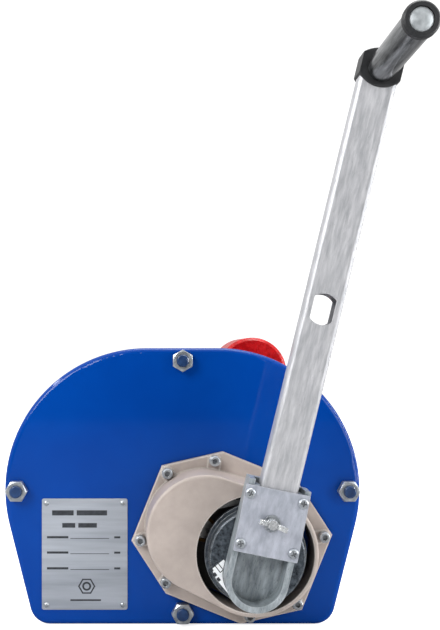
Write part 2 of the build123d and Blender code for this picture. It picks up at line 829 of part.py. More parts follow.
ring_screw = socket_screw(
    ring_screw_radius, ring_gear_width + drum_flange_thickness - blind_screw_gap, ring_screw_radius * 1.6, 4.0
)
with BuildPart() as ring_gear_screws:
    for angle in ring_screw_angles:
        across, up = polar(ring_screw_circle, angle)
        with Locations(facing(ring_gear_front, (drum_axis[0] + across, drum_axis[1] + up))):
            add(ring_screw)
ring_gear_screws.part.label = "ring_gear_screws"

# ---------------------------------------------------------------- drum on its axle
def pipes(label, spans, outer, inner):
    """Pipes round the drum's axis, each from one depth to another."""
    with BuildPart() as piece:
        for front, back in spans:
            with BuildSketch(facing(back, drum_axis)):
                Circle(outer)
                Circle(inner, mode=Mode.SUBTRACT)
            extrude(amount=back - front)
    piece.part.label = label
    return piece


drum_front_inner = drum_front + drum_flange_thickness
drum_back_inner = drum_back - drum_flange_thickness
barrel_bore = drum_barrel_radius - drum_barrel_wall
clamp_screw_points = [
    (-clamp_distance, clamp_screw_spacing / 2),
    (-clamp_distance, -clamp_screw_spacing / 2),
]
drum_barrel = pipes(
    "drum_barrel", [(drum_front_inner, drum_back_inner)], drum_barrel_radius, barrel_bore
)
with BuildPart() as drum_front_flange:
    with BuildSketch(facing(drum_front_inner, drum_axis)):
        Circle(drum_flange_radius)
        Circle(drum_hub_radius, mode=Mode.SUBTRACT)
        with Locations(*[polar(ring_screw_circle, angle) for angle in ring_screw_angles]):
            Circle(ring_screw_radius + thread_gap, mode=Mode.SUBTRACT)
    extrude(amount=drum_flange_thickness)
drum_front_flange.part.label = "drum_front_flange"

with BuildPart() as drum_rear_flange:
    with BuildSketch(facing(drum_back, drum_axis)):
        Circle(drum_flange_radius)
        Circle(drum_hub_radius, mode=Mode.SUBTRACT)
        with Locations((-rope_hole_distance, 0)):
            Circle(rope_hole_radius, mode=Mode.SUBTRACT)
        with Locations(*clamp_screw_points):
            Circle(clamp_screw_radius + thread_gap, mode=Mode.SUBTRACT)
    extrude(amount=drum_flange_thickness)
drum_rear_flange.part.label = "drum_rear_flange"

# Each flange is welded to a bored hub that holds a bush
rear_hub_front = drum_back_inner - drum_hub_length / 2
hub_spans = [(drum_front, drum_front + drum_hub_length), (rear_hub_front, drum_hub_back)]
drum_hubs = pipes("drum_hubs", hub_spans, drum_hub_radius, drum_bush_radius)
drum_bushes = pipes("drum_bushes", hub_spans, drum_bush_radius, drum_axle_radius + running_gap)

collar_back = drum_front - part_gap
with BuildPart() as drum_axle:
    with BuildSketch(lathe(drum_axis)):
        with BuildLine():
            Polyline(
                (0, depth(case_floor - part_gap)),
                (drum_axle_end_radius, depth(case_floor - part_gap)),
                (drum_axle_end_radius, front_inner),
                (drum_axle_collar_radius, front_inner),
                (drum_axle_collar_radius, collar_back),
                (drum_axle_radius, collar_back),
                (drum_axle_radius, back_inner),
                (drum_axle_end_radius, back_inner),
                (drum_axle_end_radius, back_face + axle_stub - thread_point),
                (drum_axle_end_radius - thread_point, back_face + axle_stub),
                (0, back_face + axle_stub),
                close=True,
            )
        make_face()
    revolve(axis=spin(drum_axis))
drum_axle.part.label = "drum_axle"

spacer_front = drum_hub_back + part_gap
drum_spacer = ring(
    "drum_spacer",
    front_face - back_inner,
    back_inner - spacer_front,
    drum_axis,
    drum_hub_radius,
    drum_axle_radius + thread_gap,
)
axle_washer = ring(
    "axle_washer",
    front_face - back_face - axle_washer_thickness,
    axle_washer_thickness,
    drum_axis,
    axle_washer_radius,
    drum_axle_end_radius + screw_gap,
)

with BuildPart() as axle_nut:
    nut_seat = Plane(
        origin=(drum_axis[0], back_face + axle_washer_thickness, drum_axis[1]),
        x_dir=(1, 0, 0),
        z_dir=(0, 1, 0),
    )
    with Locations(nut_seat):
        add(hex_nut(axle_nut_across_flats, axle_nut_height, drum_axle_end_radius + thread_gap, 1.5))
axle_nut.part.label = "axle_nut"

with BuildPart() as rope_clamp:
    with BuildSketch(facing(drum_back + clamp_thickness, drum_axis)):
        with Locations((-clamp_distance, 0)):
            RectangleRounded(clamp_size[1], clamp_size[0], clamp_corner)
        with Locations(*clamp_screw_points):
            Circle(clamp_screw_radius + thread_gap, mode=Mode.SUBTRACT)
    extrude(amount=clamp_thickness)
rope_clamp.part.label = "rope_clamp"

clamp_screw = socket_screw(
    clamp_screw_radius,
    clamp_thickness + drum_flange_thickness - blind_screw_gap,
    clamp_screw_radius * 1.6,
    3.5,
)
with BuildPart() as rope_clamp_screws:
    for across, up in clamp_screw_points:
        seat = Plane(
            origin=(drum_axis[0] + across, drum_back + clamp_thickness, drum_axis[1] + up),
            x_dir=(1, 0, 0),
            z_dir=(0, 1, 0),
        )
        with Locations(seat):
            add(clamp_screw)
rope_clamp_screws.part.label = "rope_clamp_screws"

# ---------------------------------------------------------------- load brake
brake_back_flange = ring(
    "brake_back_flange", brake_start, back_flange_thickness, crank_axis, back_flange_radius, shaft_radius
)
friction_start = brake_start + back_flange_thickness
inner_friction_disc = ring(
    "inner_friction_disc",
    friction_start,
    friction_thickness,
    crank_axis,
    friction_outer_radius,
    friction_inner_radius,
)
outer_friction_disc = ring(
    "outer_friction_disc",
    ratchet_start + ratchet_thickness,
    friction_thickness,
    crank_axis,
    friction_outer_radius,
    friction_inner_radius,
)
ratchet_bush = ring(
    "ratchet_bush",
    ratchet_start,
    ratchet_thickness,
    crank_axis,
    ratchet_bush_radius,
    shaft_radius + running_gap,
)

ratchet_points = []
for tooth in range(ratchet_teeth):
    face_angle = tooth_face_angle + 360 * tooth / ratchet_teeth
    ratchet_points.append(polar(ratchet_tip_radius, face_angle))
    ratchet_points.append(polar(ratchet_root_radius, face_angle))
with BuildPart() as ratchet_wheel:
    with BuildSketch(ahead(ratchet_start, crank_axis, box_lean)):
        with BuildLine():
            Polyline(*ratchet_points, close=True)
        make_face()
        Circle(ratchet_bush_radius, mode=Mode.SUBTRACT)
    extrude(amount=ratchet_thickness)
ratchet_wheel.part.label = "ratchet_wheel"

with BuildPart() as hub_flange:
    with BuildSketch(lathe(crank_axis)):
        with BuildLine():
            Polyline(
                (shaft_radius + running_gap, depth(hub_start)),
                (hub_lip_radius, depth(hub_start)),
                (hub_lip_radius, depth(hub_start + hub_lip_thickness)),
                (hub_flange_radius, depth(hub_start + hub_lip_thickness)),
                (hub_flange_radius, depth(hub_face - hub_edge_chamfer)),
                (hub_flange_radius - hub_edge_chamfer, depth(hub_face)),
                (shaft_radius + running_gap, depth(hub_face)),
                close=True,
            )
        make_face()
    revolve(axis=spin(crank_axis))
hub_flange.part.label = "hub_flange"

# The pawl's frame: its x axis is the tooth face that it stops
pawl_lean = box_lean - tooth_face_angle
pawl_foot = ratchet_root_radius + pawl_root_gap
with BuildPart() as pawl:
    with BuildSketch(ahead(ratchet_start + part_gap, crank_axis, pawl_lean)):
        with BuildLine():
            Polyline(
                (pawl_foot, pawl_tip_gap),
                *[(pawl_foot + out, pawl_tip_gap + up) for out, up in pawl_hook],
                (pawl_pivot[0] - pawl_boss_radius, pawl_pivot[1]),
                (pawl_pivot[0] + pawl_boss_radius, pawl_pivot[1]),
                (pawl_foot + pawl_foot_width, pawl_tip_gap),
                close=True,
            )
        make_face()
        with Locations(pawl_pivot):
            Circle(pawl_boss_radius)
            Circle(pawl_pin_radius + thread_gap, mode=Mode.SUBTRACT)
    extrude(amount=ratchet_thickness - 2 * part_gap)
pawl.part.label = "pawl"

pawl_top = ratchet_start + ratchet_thickness - part_gap
pin_top = pawl_top + pawl_pin_rise
with BuildPart() as pawl_pin:
    with BuildSketch(ahead(case_depth, pawl_axis)):
        Circle(pawl_pin_radius)
    extrude(amount=pin_top - case_depth)
    with BuildSketch(ahead(case_top, pawl_axis)):
        Circle(pawl_boss_radius)
    extrude(amount=ratchet_start - case_top)
pawl_pin.part.label = "pawl_pin"

pawl_clip = ring(
    "pawl_clip",
    pin_top - pawl_clip_drop,
    clip_thickness,
    pawl_axis,
    pawl_boss_radius - pawl_clip_lip,
    pawl_pin_radius,
)

# One coil spring standing on the XY plane, with a straight leg at its top
with BuildPart() as coil_spring:
    with BuildLine():
        coil = Helix(
            pitch=pawl_coil_pitch,
            height=pawl_coil_pitch * pawl_coil_turns,
            radius=pawl_pin_radius + pawl_wire_radius + part_gap,
        )
        Line(coil @ 1, coil @ 1 + (coil % 1) * pawl_spring_leg)
    with BuildSketch(Plane(origin=coil @ 0, z_dir=coil % 0)):
        Circle(pawl_wire_radius)
    sweep()

with BuildPart() as pawl_spring:
    with Locations(ahead(pawl_top + pawl_wire_radius + part_gap, pawl_axis, box_lean)):
        add(coil_spring.part)
pawl_spring.part.label = "pawl_spring"

# ---------------------------------------------------------------- crank hub
def hub_outline(margin):
    """Outline of the hub, grown by margin: straight sides and a round lower end."""
    round_centre = hub_bottom + hub_half_width
    with BuildSketch() as outline:
        with Locations((0, round_centre)):
            Circle(hub_half_width + margin)
            Rectangle(
                2 * (hub_half_width + margin),
                hub_top + margin - round_centre,
                align=(Align.CENTER, Align.MIN),
            )
    return outline.sketch


wing_centre = (
    crank_axis[0] + hub_plate_centre * sin(radians(crank_lean)),
    crank_axis[1] + hub_plate_centre * cos(radians(crank_lean)),
)


def on_plate(height):
    return ahead(height, wing_centre, crank_lean - hub_plate_skew)


hub_screw_points = quarter_turns([(hub_screw_spacing[0] / 2, hub_screw_spacing[1] / 2)])
block_inner = arm_half_width + arm_gap
block_outer = hub_half_width - hub_wall / 2
block_centres = quarter_turns([((block_inner + block_outer) / 2, hub_screw_spacing[1] / 2)])
with BuildPart() as crank_hub:
    with BuildSketch(on_crank(hub_face)):
        add(hub_outline(0))
    extrude(amount=hub_plate_back - hub_face)
    with BuildSketch(on_crank(hub_face + hub_web)):
        add(hub_outline(-hub_wall))
        with Locations((0, hub_top)):
            Rectangle(2 * (hub_half_width - hub_wall), 4 * hub_wall)
        with Locations(*[(x, hub_plate_centre + z) for x, z in block_centres]):
            Rectangle(block_outer - block_inner, hub_block_length, mode=Mode.SUBTRACT)
    extrude(amount=hub_plate_back - hub_face, mode=Mode.SUBTRACT)
    with BuildSketch(on_plate(hub_plate_back)):
        with Locations(*hub_screw_points):
            Circle(hub_screw_radius + thread_gap)
    extrude(amount=-hub_screw_length, mode=Mode.SUBTRACT)
crank_hub.part.label = "crank_hub"

with BuildPart() as hub_cover_plate:
    with BuildSketch(on_plate(hub_plate_back)):
        RectangleRounded(*hub_plate_size, hub_plate_corner)
        Circle(wing_bolt_radius + thread_gap, mode=Mode.SUBTRACT)
        with Locations(*hub_screw_points):
            Circle(hub_screw_radius + thread_gap, mode=Mode.SUBTRACT)
    extrude(amount=hub_plate_thickness)
hub_cover_plate.part.label = "hub_cover_plate"

hub_screw = pan_screw(
    hub_screw_radius,
    hub_plate_thickness + hub_screw_length - 1,
    hub_screw_head_radius,
    hub_screw_head_height,
)
with BuildPart() as hub_plate_screws:
    for number, point in enumerate(hub_screw_points):
        seat = on_plate(hub_plate_front)
        with Locations(seat * Location((point[0], point[1], 0), (0, 0, 35 * number))):
            add(hub_screw)
hub_plate_screws.part.label = "hub_plate_screws"

wing_washer_front = hub_plate_front + wing_washer_thickness
wing_bolt_washer = ring(
    "wing_bolt_washer",
    hub_plate_front,
    wing_washer_thickness,
    wing_centre,
    wing_washer_radius,
    wing_bolt_radius + thread_gap,
)
with BuildPart() as wing_bolt:
    with BuildSketch(ahead(arm_front + thread_gap, wing_centre)):
        Circle(wing_bolt_radius)
    extrude(amount=wing_washer_front - arm_front)
    with BuildSketch(ahead(wing_washer_front, wing_centre)):
        Circle(wing_bolt_boss_radius)
    extrude(amount=wing_bolt_boss_height, taper=wing_boss_taper)
    wing_plane = Plane(
        origin=(wing_centre[0], depth(wing_washer_front), wing_centre[1]),
        x_dir=(cos(radians(crank_lean + wing_turn)), 0, -sin(radians(crank_lean + wing_turn))),
        z_dir=(sin(radians(crank_lean + wing_turn)), 0, cos(radians(crank_lean + wing_turn))),
    )
    for side in (1, -1):
        with BuildSketch(wing_plane):
            with BuildLine():
                inner_low = (side * wing_root_radius, -wing_root_drop)
                outer_low = (side * wing_span / 2 * 0.75, -wing_root_drop - wing_height * 0.3)
                outer_mid = (side * wing_span / 2, -wing_root_drop - wing_height * 0.85)
                outer_high = (side * wing_span / 2 * 0.8, -wing_root_radius - wing_height * 1.2)
                inner_high = (side * wing_root_radius, -wing_root_drop - wing_height * 0.5)
                Line(inner_low, outer_low)
                ThreePointArc(outer_low, outer_mid, outer_high)
                Line(outer_high, inner_high)
                Line(inner_high, inner_low)
            make_face()
        extrude(amount=wing_thickness / 2, both=True)
wing_bolt.part.label = "wing_bolt"

# ---------------------------------------------------------------- direction sticker
with BuildPart() as direction_sticker:
    sticker_x, sticker_z = polar(sticker_distance, sticker_angle)
    sticker_centre = (crank_axis[0] + sticker_x, crank_axis[1] + sticker_z)
    with BuildSketch(ahead(hub_face, sticker_centre, 270 - sticker_angle)):
        Rectangle(*sticker_size)
    extrude(amount=sticker_thickness)
    with BuildSketch(ahead(hub_face, crank_axis)):
        Circle(hub_flange_radius - hub_edge_chamfer - sticker_edge_gap)
    extrude(amount=sticker_thickness, mode=Mode.INTERSECT)
    with BuildSketch(on_crank(hub_face)):
        add(hub_outline(sticker_edge_gap))
    extrude(amount=sticker_thickness, mode=Mode.SUBTRACT)
direction_sticker.part.label = "direction_sticker"

# ---------------------------------------------------------------- crank arm, cap and grip
arm_middle_height = (arm_back + arm_front) / 2
grip_axis = (
    crank_axis[0] + crank_radius * sin(radians(crank_lean)),
    crank_axis[1] + crank_radius * cos(radians(crank_lean)),
)
arm_section = Plane(
    origin=(crank_axis[0], depth(arm_middle_height), crank_axis[1]),
    x_dir=(cos(radians(crank_lean)), 0, -sin(radians(crank_lean))),
    z_dir=(sin(radians(crank_lean)), 0, cos(radians(crank_lean))),
)
with BuildPart() as crank_arm:
    with BuildSketch(arm_section.offset(arm_start)):
        RectangleRounded(2 * arm_half_width, arm_depth, arm_corner)
        RectangleRounded(
            2 * (arm_half_width - arm_wall),
            arm_depth - 2 * arm_wall,
            arm_corner - arm_wall,
            mode=Mode.SUBTRACT,
        )
    extrude(amount=arm_end - arm_start)
    with BuildSketch(on_crank(arm_back)):
        with Locations((0, arm_hole_centre)):
            Circle(arm_hole_size[1] / 2)
            Rectangle(*arm_hole_size, mode=Mode.INTERSECT)
    extrude(amount=arm_depth, mode=Mode.SUBTRACT)
    with BuildSketch(on_crank(arm_back)):
        with Locations((0, crank_radius)):
            Circle(grip_pin_radius + thread_gap)
    extrude(amount=arm_depth, mode=Mode.SUBTRACT)
crank_arm.part.label = "crank_arm"

with BuildPart() as arm_end_cap:
    with BuildSketch(on_crank(arm_back - cap_skin)):
        with BuildLine():
            lower_left = (-cap_half_width, crank_radius + cap_lower_side)
            lower_right = (cap_half_width, crank_radius + cap_lower_side)
            upper_left = (-cap_half_width, crank_radius + cap_upper_side)
            upper_right = (cap_half_width, crank_radius + cap_upper_side)
            ThreePointArc(lower_left, (0, crank_radius + cap_lower_middle), lower_right)
            Line(lower_right, upper_right)
            ThreePointArc(upper_right, (0, crank_radius + cap_upper_middle), upper_left)
            Line(upper_left, lower_left)
        make_face()
    extrude(amount=arm_depth + 2 * cap_skin)
    fillet(arm_end_cap.edges().filter_by(GeomType.LINE, reverse=True), 1.2)
    with BuildSketch(arm_section.offset(arm_start)):
        RectangleRounded(2 * arm_half_width, arm_depth, arm_corner)
    extrude(amount=arm_end - arm_start, mode=Mode.SUBTRACT)
    with BuildSketch(on_crank(arm_back - cap_skin)):
        with Locations((0, crank_radius)):
            Circle(grip_back_head_radius + screw_gap)
    extrude(amount=arm_depth + 2 * cap_skin, mode=Mode.SUBTRACT)
arm_end_cap.part.label = "arm_end_cap"

tube_start = arm_front + grip_shoulder + part_gap
tube_end = tube_start + grip_length
ring_end = tube_end + grip_ring_height
head_start = ring_end - 3.0
with BuildPart() as grip_pin:
    with BuildSketch(lathe(grip_axis)):
        with BuildLine():
            Polyline(
                (0, depth(arm_back - grip_back_head)),
                (grip_back_head_radius - 1.5, depth(arm_back - grip_back_head)),
                (grip_back_head_radius, depth(arm_back - 1.5)),
                (grip_back_head_radius, depth(arm_back)),
                (grip_pin_radius, depth(arm_back)),
                (grip_pin_radius, depth(arm_front)),
                (grip_shoulder_radius, depth(arm_front)),
                (grip_shoulder_radius, depth(arm_front + grip_shoulder)),
                (grip_pin_radius, depth(arm_front + grip_shoulder)),
                (grip_pin_radius, depth(head_start)),
                (0, depth(head_start)),
                close=True,
            )
        make_face()
    revolve(axis=spin(grip_axis))
grip_pin.part.label = "grip_pin"

with BuildPart() as grip_pin_head:
    with BuildSketch(lathe(grip_axis)):
        with BuildLine():
            rim_y = depth(head_start + grip_head_edge)
            crown = (0, rim_y - grip_head_dome)
            Line((0, depth(head_start)), (grip_head_radius, depth(head_start)))
            Line((grip_head_radius, depth(head_start)), (grip_head_radius, rim_y))
            ThreePointArc(
                (grip_head_radius, rim_y),
                dome_middle(grip_head_radius, rim_y, grip_head_dome),
                crown,
            )
            Line(crown, (0, depth(head_start)))
        make_face()
    revolve(axis=spin(grip_axis))
grip_pin_head.part.label = "grip_pin_head"

tube_bore = grip_tube_radius - grip_tube_wall
grip_tube = ring("grip_tube", tube_start, grip_length, grip_axis, grip_tube_radius, tube_bore)
grip_inner_bush = ring(
    "grip_inner_bush", tube_start, grip_bush_length, grip_axis, tube_bore, grip_pin_radius + grip_gap
)

with BuildPart() as grip_end_ring:
    with BuildSketch(lathe(grip_axis)):
        with BuildLine():
            Polyline(
                (grip_pin_radius + grip_gap, depth(tube_end - grip_bush_length)),
                (tube_bore, depth(tube_end - grip_bush_length)),
                (tube_bore, depth(tube_end)),
                (grip_ring_radius, depth(tube_end)),
                (grip_ring_radius, depth(ring_end - 1.5)),
                (grip_ring_radius - 1.5, depth(ring_end)),
                (grip_head_radius + part_gap, depth(ring_end)),
                (grip_head_radius + part_gap, depth(head_start - part_gap)),
                (grip_pin_radius + grip_gap, depth(head_start - part_gap)),
                close=True,
            )
        make_face()
    revolve(axis=spin(grip_axis))
grip_end_ring.part.label = "grip_end_ring"

# ---------------------------------------------------------------- pressure roller
pivot = tie_rod_centres[0]
roller_axis = (pivot[0] + roller_offset[0], pivot[1] + roller_offset[1])
roller_reach = hypot(*roller_offset)
roller_arm_lean = -degrees(atan2(roller_offset[1], roller_offset[0]))
roller_arm_inset = back_inner - roller_side_space - roller_arm_thickness
with BuildPart() as roller_frame:
    with BuildSketch(facing(roller_arm_inset, pivot)):
        Circle(cross_tube_radius)
    extrude(amount=2 * roller_arm_inset)
    for arm_plane_y in (-roller_arm_inset, roller_arm_inset + roller_arm_thickness):
        with BuildSketch(facing(arm_plane_y, pivot, roller_arm_lean)):
            Circle(cross_tube_radius)
            with Locations((roller_reach / 2, 0)):
                SlotCenterToCenter(roller_reach, 2 * roller_arm_radius)
        extrude(amount=roller_arm_thickness)
    with BuildSketch(facing(frame_depth, pivot)):
        Circle(tie_rod_radius + thread_gap)
    extrude(amount=2 * frame_depth, mode=Mode.SUBTRACT)
    with BuildSketch(facing(frame_depth, roller_axis)):
        Circle(spindle_radius)
    extrude(amount=2 * frame_depth, mode=Mode.SUBTRACT)
roller_frame.part.label = "roller_frame"

roller_half = roller_arm_inset - roller_end_gap
roller_bore_radius = spindle_radius + thread_gap
with BuildPart() as pressure_roller:
    with BuildSketch(lathe(roller_axis)):
        with BuildLine():
            Polyline(
                (roller_bore_radius, -roller_half),
                (roller_radius - roller_rim, -roller_half),
                (roller_radius, -roller_half + roller_rim),
                (roller_radius, roller_half - roller_rim),
                (roller_radius - roller_rim, roller_half),
                (roller_bore_radius, roller_half),
                close=True,
            )
        make_face()
    revolve(axis=spin(roller_axis))
    fillet(
        pressure_roller.edges().filter_by(GeomType.CIRCLE).group_by(SortBy.RADIUS)[-1], roller_rim / 2
    )
pressure_roller.part.label = "pressure_roller"

spindle_half = roller_arm_inset + roller_arm_thickness + clip_thickness + 1
with BuildPart() as roller_spindle:
    with BuildSketch(facing(spindle_half, roller_axis)):
        Circle(spindle_radius)
    extrude(amount=2 * spindle_half)
roller_spindle.part.label = "roller_spindle"

with BuildPart() as spindle_clips:
    clip_inner = roller_arm_inset + roller_arm_thickness
    for clip_y in (clip_inner + clip_thickness, -clip_inner):
        with BuildSketch(facing(clip_y, roller_axis)):
            Circle(clip_radius)
            Circle(spindle_radius, mode=Mode.SUBTRACT)
        extrude(amount=clip_thickness)
spindle_clips.part.label = "spindle_clips"

# ---------------------------------------------------------------- label plate
with BuildPart() as label_plate:
    with BuildSketch(ahead(0)):
        with Locations(label_centre):
            RectangleRounded(*label_size, label_corner)
        with Locations(*rivet_centres):
            Circle(rivet_radius + thread_gap, mode=Mode.SUBTRACT)
    extrude(amount=label_thickness)
label_plate.part.label = "label_plate"

with BuildPart() as label_rivets:
    for centre in rivet_centres:
        with BuildSketch(lathe(centre)):
            with BuildLine():
                head_back = depth(label_thickness)
                dome_edge = (rivet_head_radius, head_back)
                dome_top = (0, head_back - rivet_head_height)
                Line((0, front_inner + 1), (rivet_radius, front_inner + 1))
                Line((rivet_radius, front_inner + 1), (rivet_radius, head_back))
                Line((rivet_radius, head_back), dome_edge)
                ThreePointArc(
                    dome_edge,
                    dome_middle(rivet_head_radius, head_back, rivet_head_height),
                    dome_top,
                )
                Line(dome_top, (0, front_inner + 1))
            make_face()
        revolve(axis=spin(centre))
label_rivets.part.label = "label_rivets"

# ---------------------------------------------------------------- write every piece
pieces = [
    front_side_plate,
    rear_side_plate,
    tie_rods,
    tie_rod_nuts,
    gearbox_cover,
    cover_gasket,
    cover_screws,
    cover_spring_washers,
    gear_case,
    gear_case_lid,
    gear_case_screws,
    crank_shaft_bushes,
    intermediate_bushes,
    crank_shaft,
    first_stage_gear,
    gear_key,
    intermediate_shaft,
    ring_gear,
    ring_gear_screws,
    drum_barrel,
    drum_front_flange,
    drum_rear_flange,
    drum_hubs,
    drum_bushes,
    drum_axle,
    drum_spacer,
    axle_washer,
    axle_nut,
    rope_clamp,
    rope_clamp_screws,
    brake_back_flange,
    inner_friction_disc,
    outer_friction_disc,
    ratchet_bush,
    ratchet_wheel,
    hub_flange,
    pawl,
    pawl_pin,
    pawl_clip,
    pawl_spring,
    crank_hub,
    hub_cover_plate,
    hub_plate_screws,
    wing_bolt_washer,
    wing_bolt,
    direction_sticker,
    crank_arm,
    arm_end_cap,
    grip_pin,
    grip_pin_head,
    grip_tube,
    grip_inner_bush,
    grip_end_ring,
    roller_frame,
    pressure_roller,
    roller_spindle,
    spindle_clips,
    label_plate,
    label_rivets,
]
os.makedirs("parts", exist_ok=True)
for piece in pieces:
    export_step(piece.part, f"parts/{piece.part.label}.step")
print(len(pieces), "pieces")
print("crank axis", crank_axis, "intermediate axis", intermediate_axis, "drum axis", drum_axis)
print("grip axis", grip_axis, "pawl axis", pawl_axis, "roller pivot", pivot)
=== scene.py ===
import math

import bmesh
import bpy
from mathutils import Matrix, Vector


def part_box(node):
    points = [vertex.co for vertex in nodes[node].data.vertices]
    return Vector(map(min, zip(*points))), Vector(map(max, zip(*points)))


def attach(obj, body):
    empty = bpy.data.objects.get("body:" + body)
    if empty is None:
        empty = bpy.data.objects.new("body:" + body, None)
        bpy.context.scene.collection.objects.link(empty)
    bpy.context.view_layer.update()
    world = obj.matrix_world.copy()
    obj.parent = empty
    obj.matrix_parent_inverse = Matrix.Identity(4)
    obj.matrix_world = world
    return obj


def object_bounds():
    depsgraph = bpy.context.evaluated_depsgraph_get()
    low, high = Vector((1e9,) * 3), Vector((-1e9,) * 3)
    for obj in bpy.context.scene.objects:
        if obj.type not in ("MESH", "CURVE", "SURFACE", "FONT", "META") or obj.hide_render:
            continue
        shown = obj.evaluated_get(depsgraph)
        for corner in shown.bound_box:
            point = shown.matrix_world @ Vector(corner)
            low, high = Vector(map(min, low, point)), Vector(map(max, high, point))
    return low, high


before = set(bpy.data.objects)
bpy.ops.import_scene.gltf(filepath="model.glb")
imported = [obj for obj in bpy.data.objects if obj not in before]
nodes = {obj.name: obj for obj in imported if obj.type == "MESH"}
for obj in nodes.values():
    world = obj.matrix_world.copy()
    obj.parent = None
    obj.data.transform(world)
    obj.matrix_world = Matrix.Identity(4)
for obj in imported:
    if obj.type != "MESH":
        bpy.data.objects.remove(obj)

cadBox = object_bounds()
print("frame loaded:", len(nodes), "pieces")

# Millimetres to metres, and the lean of the crank from vertical
mm = 0.001
crankLean = math.radians(13.6)


def linearColour(hexValue):
    channels = [int(hexValue[at:at + 2], 16) / 255 for at in (0, 2, 4)]
    linear = [c / 12.92 if c <= 0.04045 else ((c + 0.055) / 1.055) ** 2.4 for c in channels]
    return (*linear, 1.0)


def grey(value):
    return (value, value, value, 1.0)


def addNode(tree, kind, inputs=None, stops=(), **settings):
    made = tree.nodes.new(kind)
    for name, value in settings.items():
        setattr(made, name, value)
    for name, value in (inputs or {}).items():
        socket = made.inputs[name]
        if isinstance(value, bpy.types.NodeSocket):
            tree.links.new(value, socket)
        else:
            socket.default_value = value
    for count, (position, colour) in enumerate(stops):  # a ramp's colours, from its low end up
        elements = made.color_ramp.elements
        if count == len(elements):
            elements.new(position)
        elements[count].position = position
        elements[count].color = colour
    return made


# What a finish has when its own dictionary does not say otherwise. Sizes are in millimetres.
plainFinish = {
    "metallic": 0.0,
    "patch": 40.0,  # size of the slow changes of shade
    "grain": 1.2,  # size of the fine grain
    "stretch": (1.0, 1.0, 1.0),  # above 1 draws the pattern out along that axis
    "lean": 0.0,
    "roughness": (0.35, 0.5),
    "bump": 0.02,
    "waves": 0.0,  # height of slow unevenness
    "waveSize": 12.0,
    "edgeRadius": 0.5,
    "edge": None,  # colour laid along edges: wear on some finishes, painted highlight on others
    "edgeAmount": 0.0,
    # Painted shade: the colour that hollows and creases are darkened towards, and how strongly
    "hollowShade": "2B2723",
    "hollowShadeAmount": 0.25,
    "coat": 0.0,
    "coatRoughness": 0.08,
    "spangle": 0.0,  # share of crystal facets in the shade
    "spangleSize": 6.0,
    "specular": 0.5,
    "specks": 0.0,
    "speckColour": "1C1B1A",
}
# How the patterns are read, the same for every finish
pattern = {
    "patchDetail": 4.0,
    "patchHarshness": 0.62,
    "grainDetail": 3.0,
    "grainHarshness": 0.7,
    "waveDetail": 1.0,
    "patchStops": (0.32, 0.68),  # where a patch turns from the first colour to the second
    "patchRange": (0.3, 0.7),  # the same, for roughness
    "speckStops": (0.66, 0.74),
    "speckReach": 0.12,  # how far more specks lower the first stop
    "edgeReach": 2.2,  # band of edge colour, as a multiple of the edge radius
    "edgeStops": (0.75, 0.985),
    "edgeBreakStops": (0.35, 0.6),
    "edgeBreakLeast": 0.45,
    # How far the painted shade in hollows reaches, and where it fades out
    "hollowShadeReach": 9.0,
    "hollowShadeStops": (0.15, 0.75),
    "samples": 4,
}


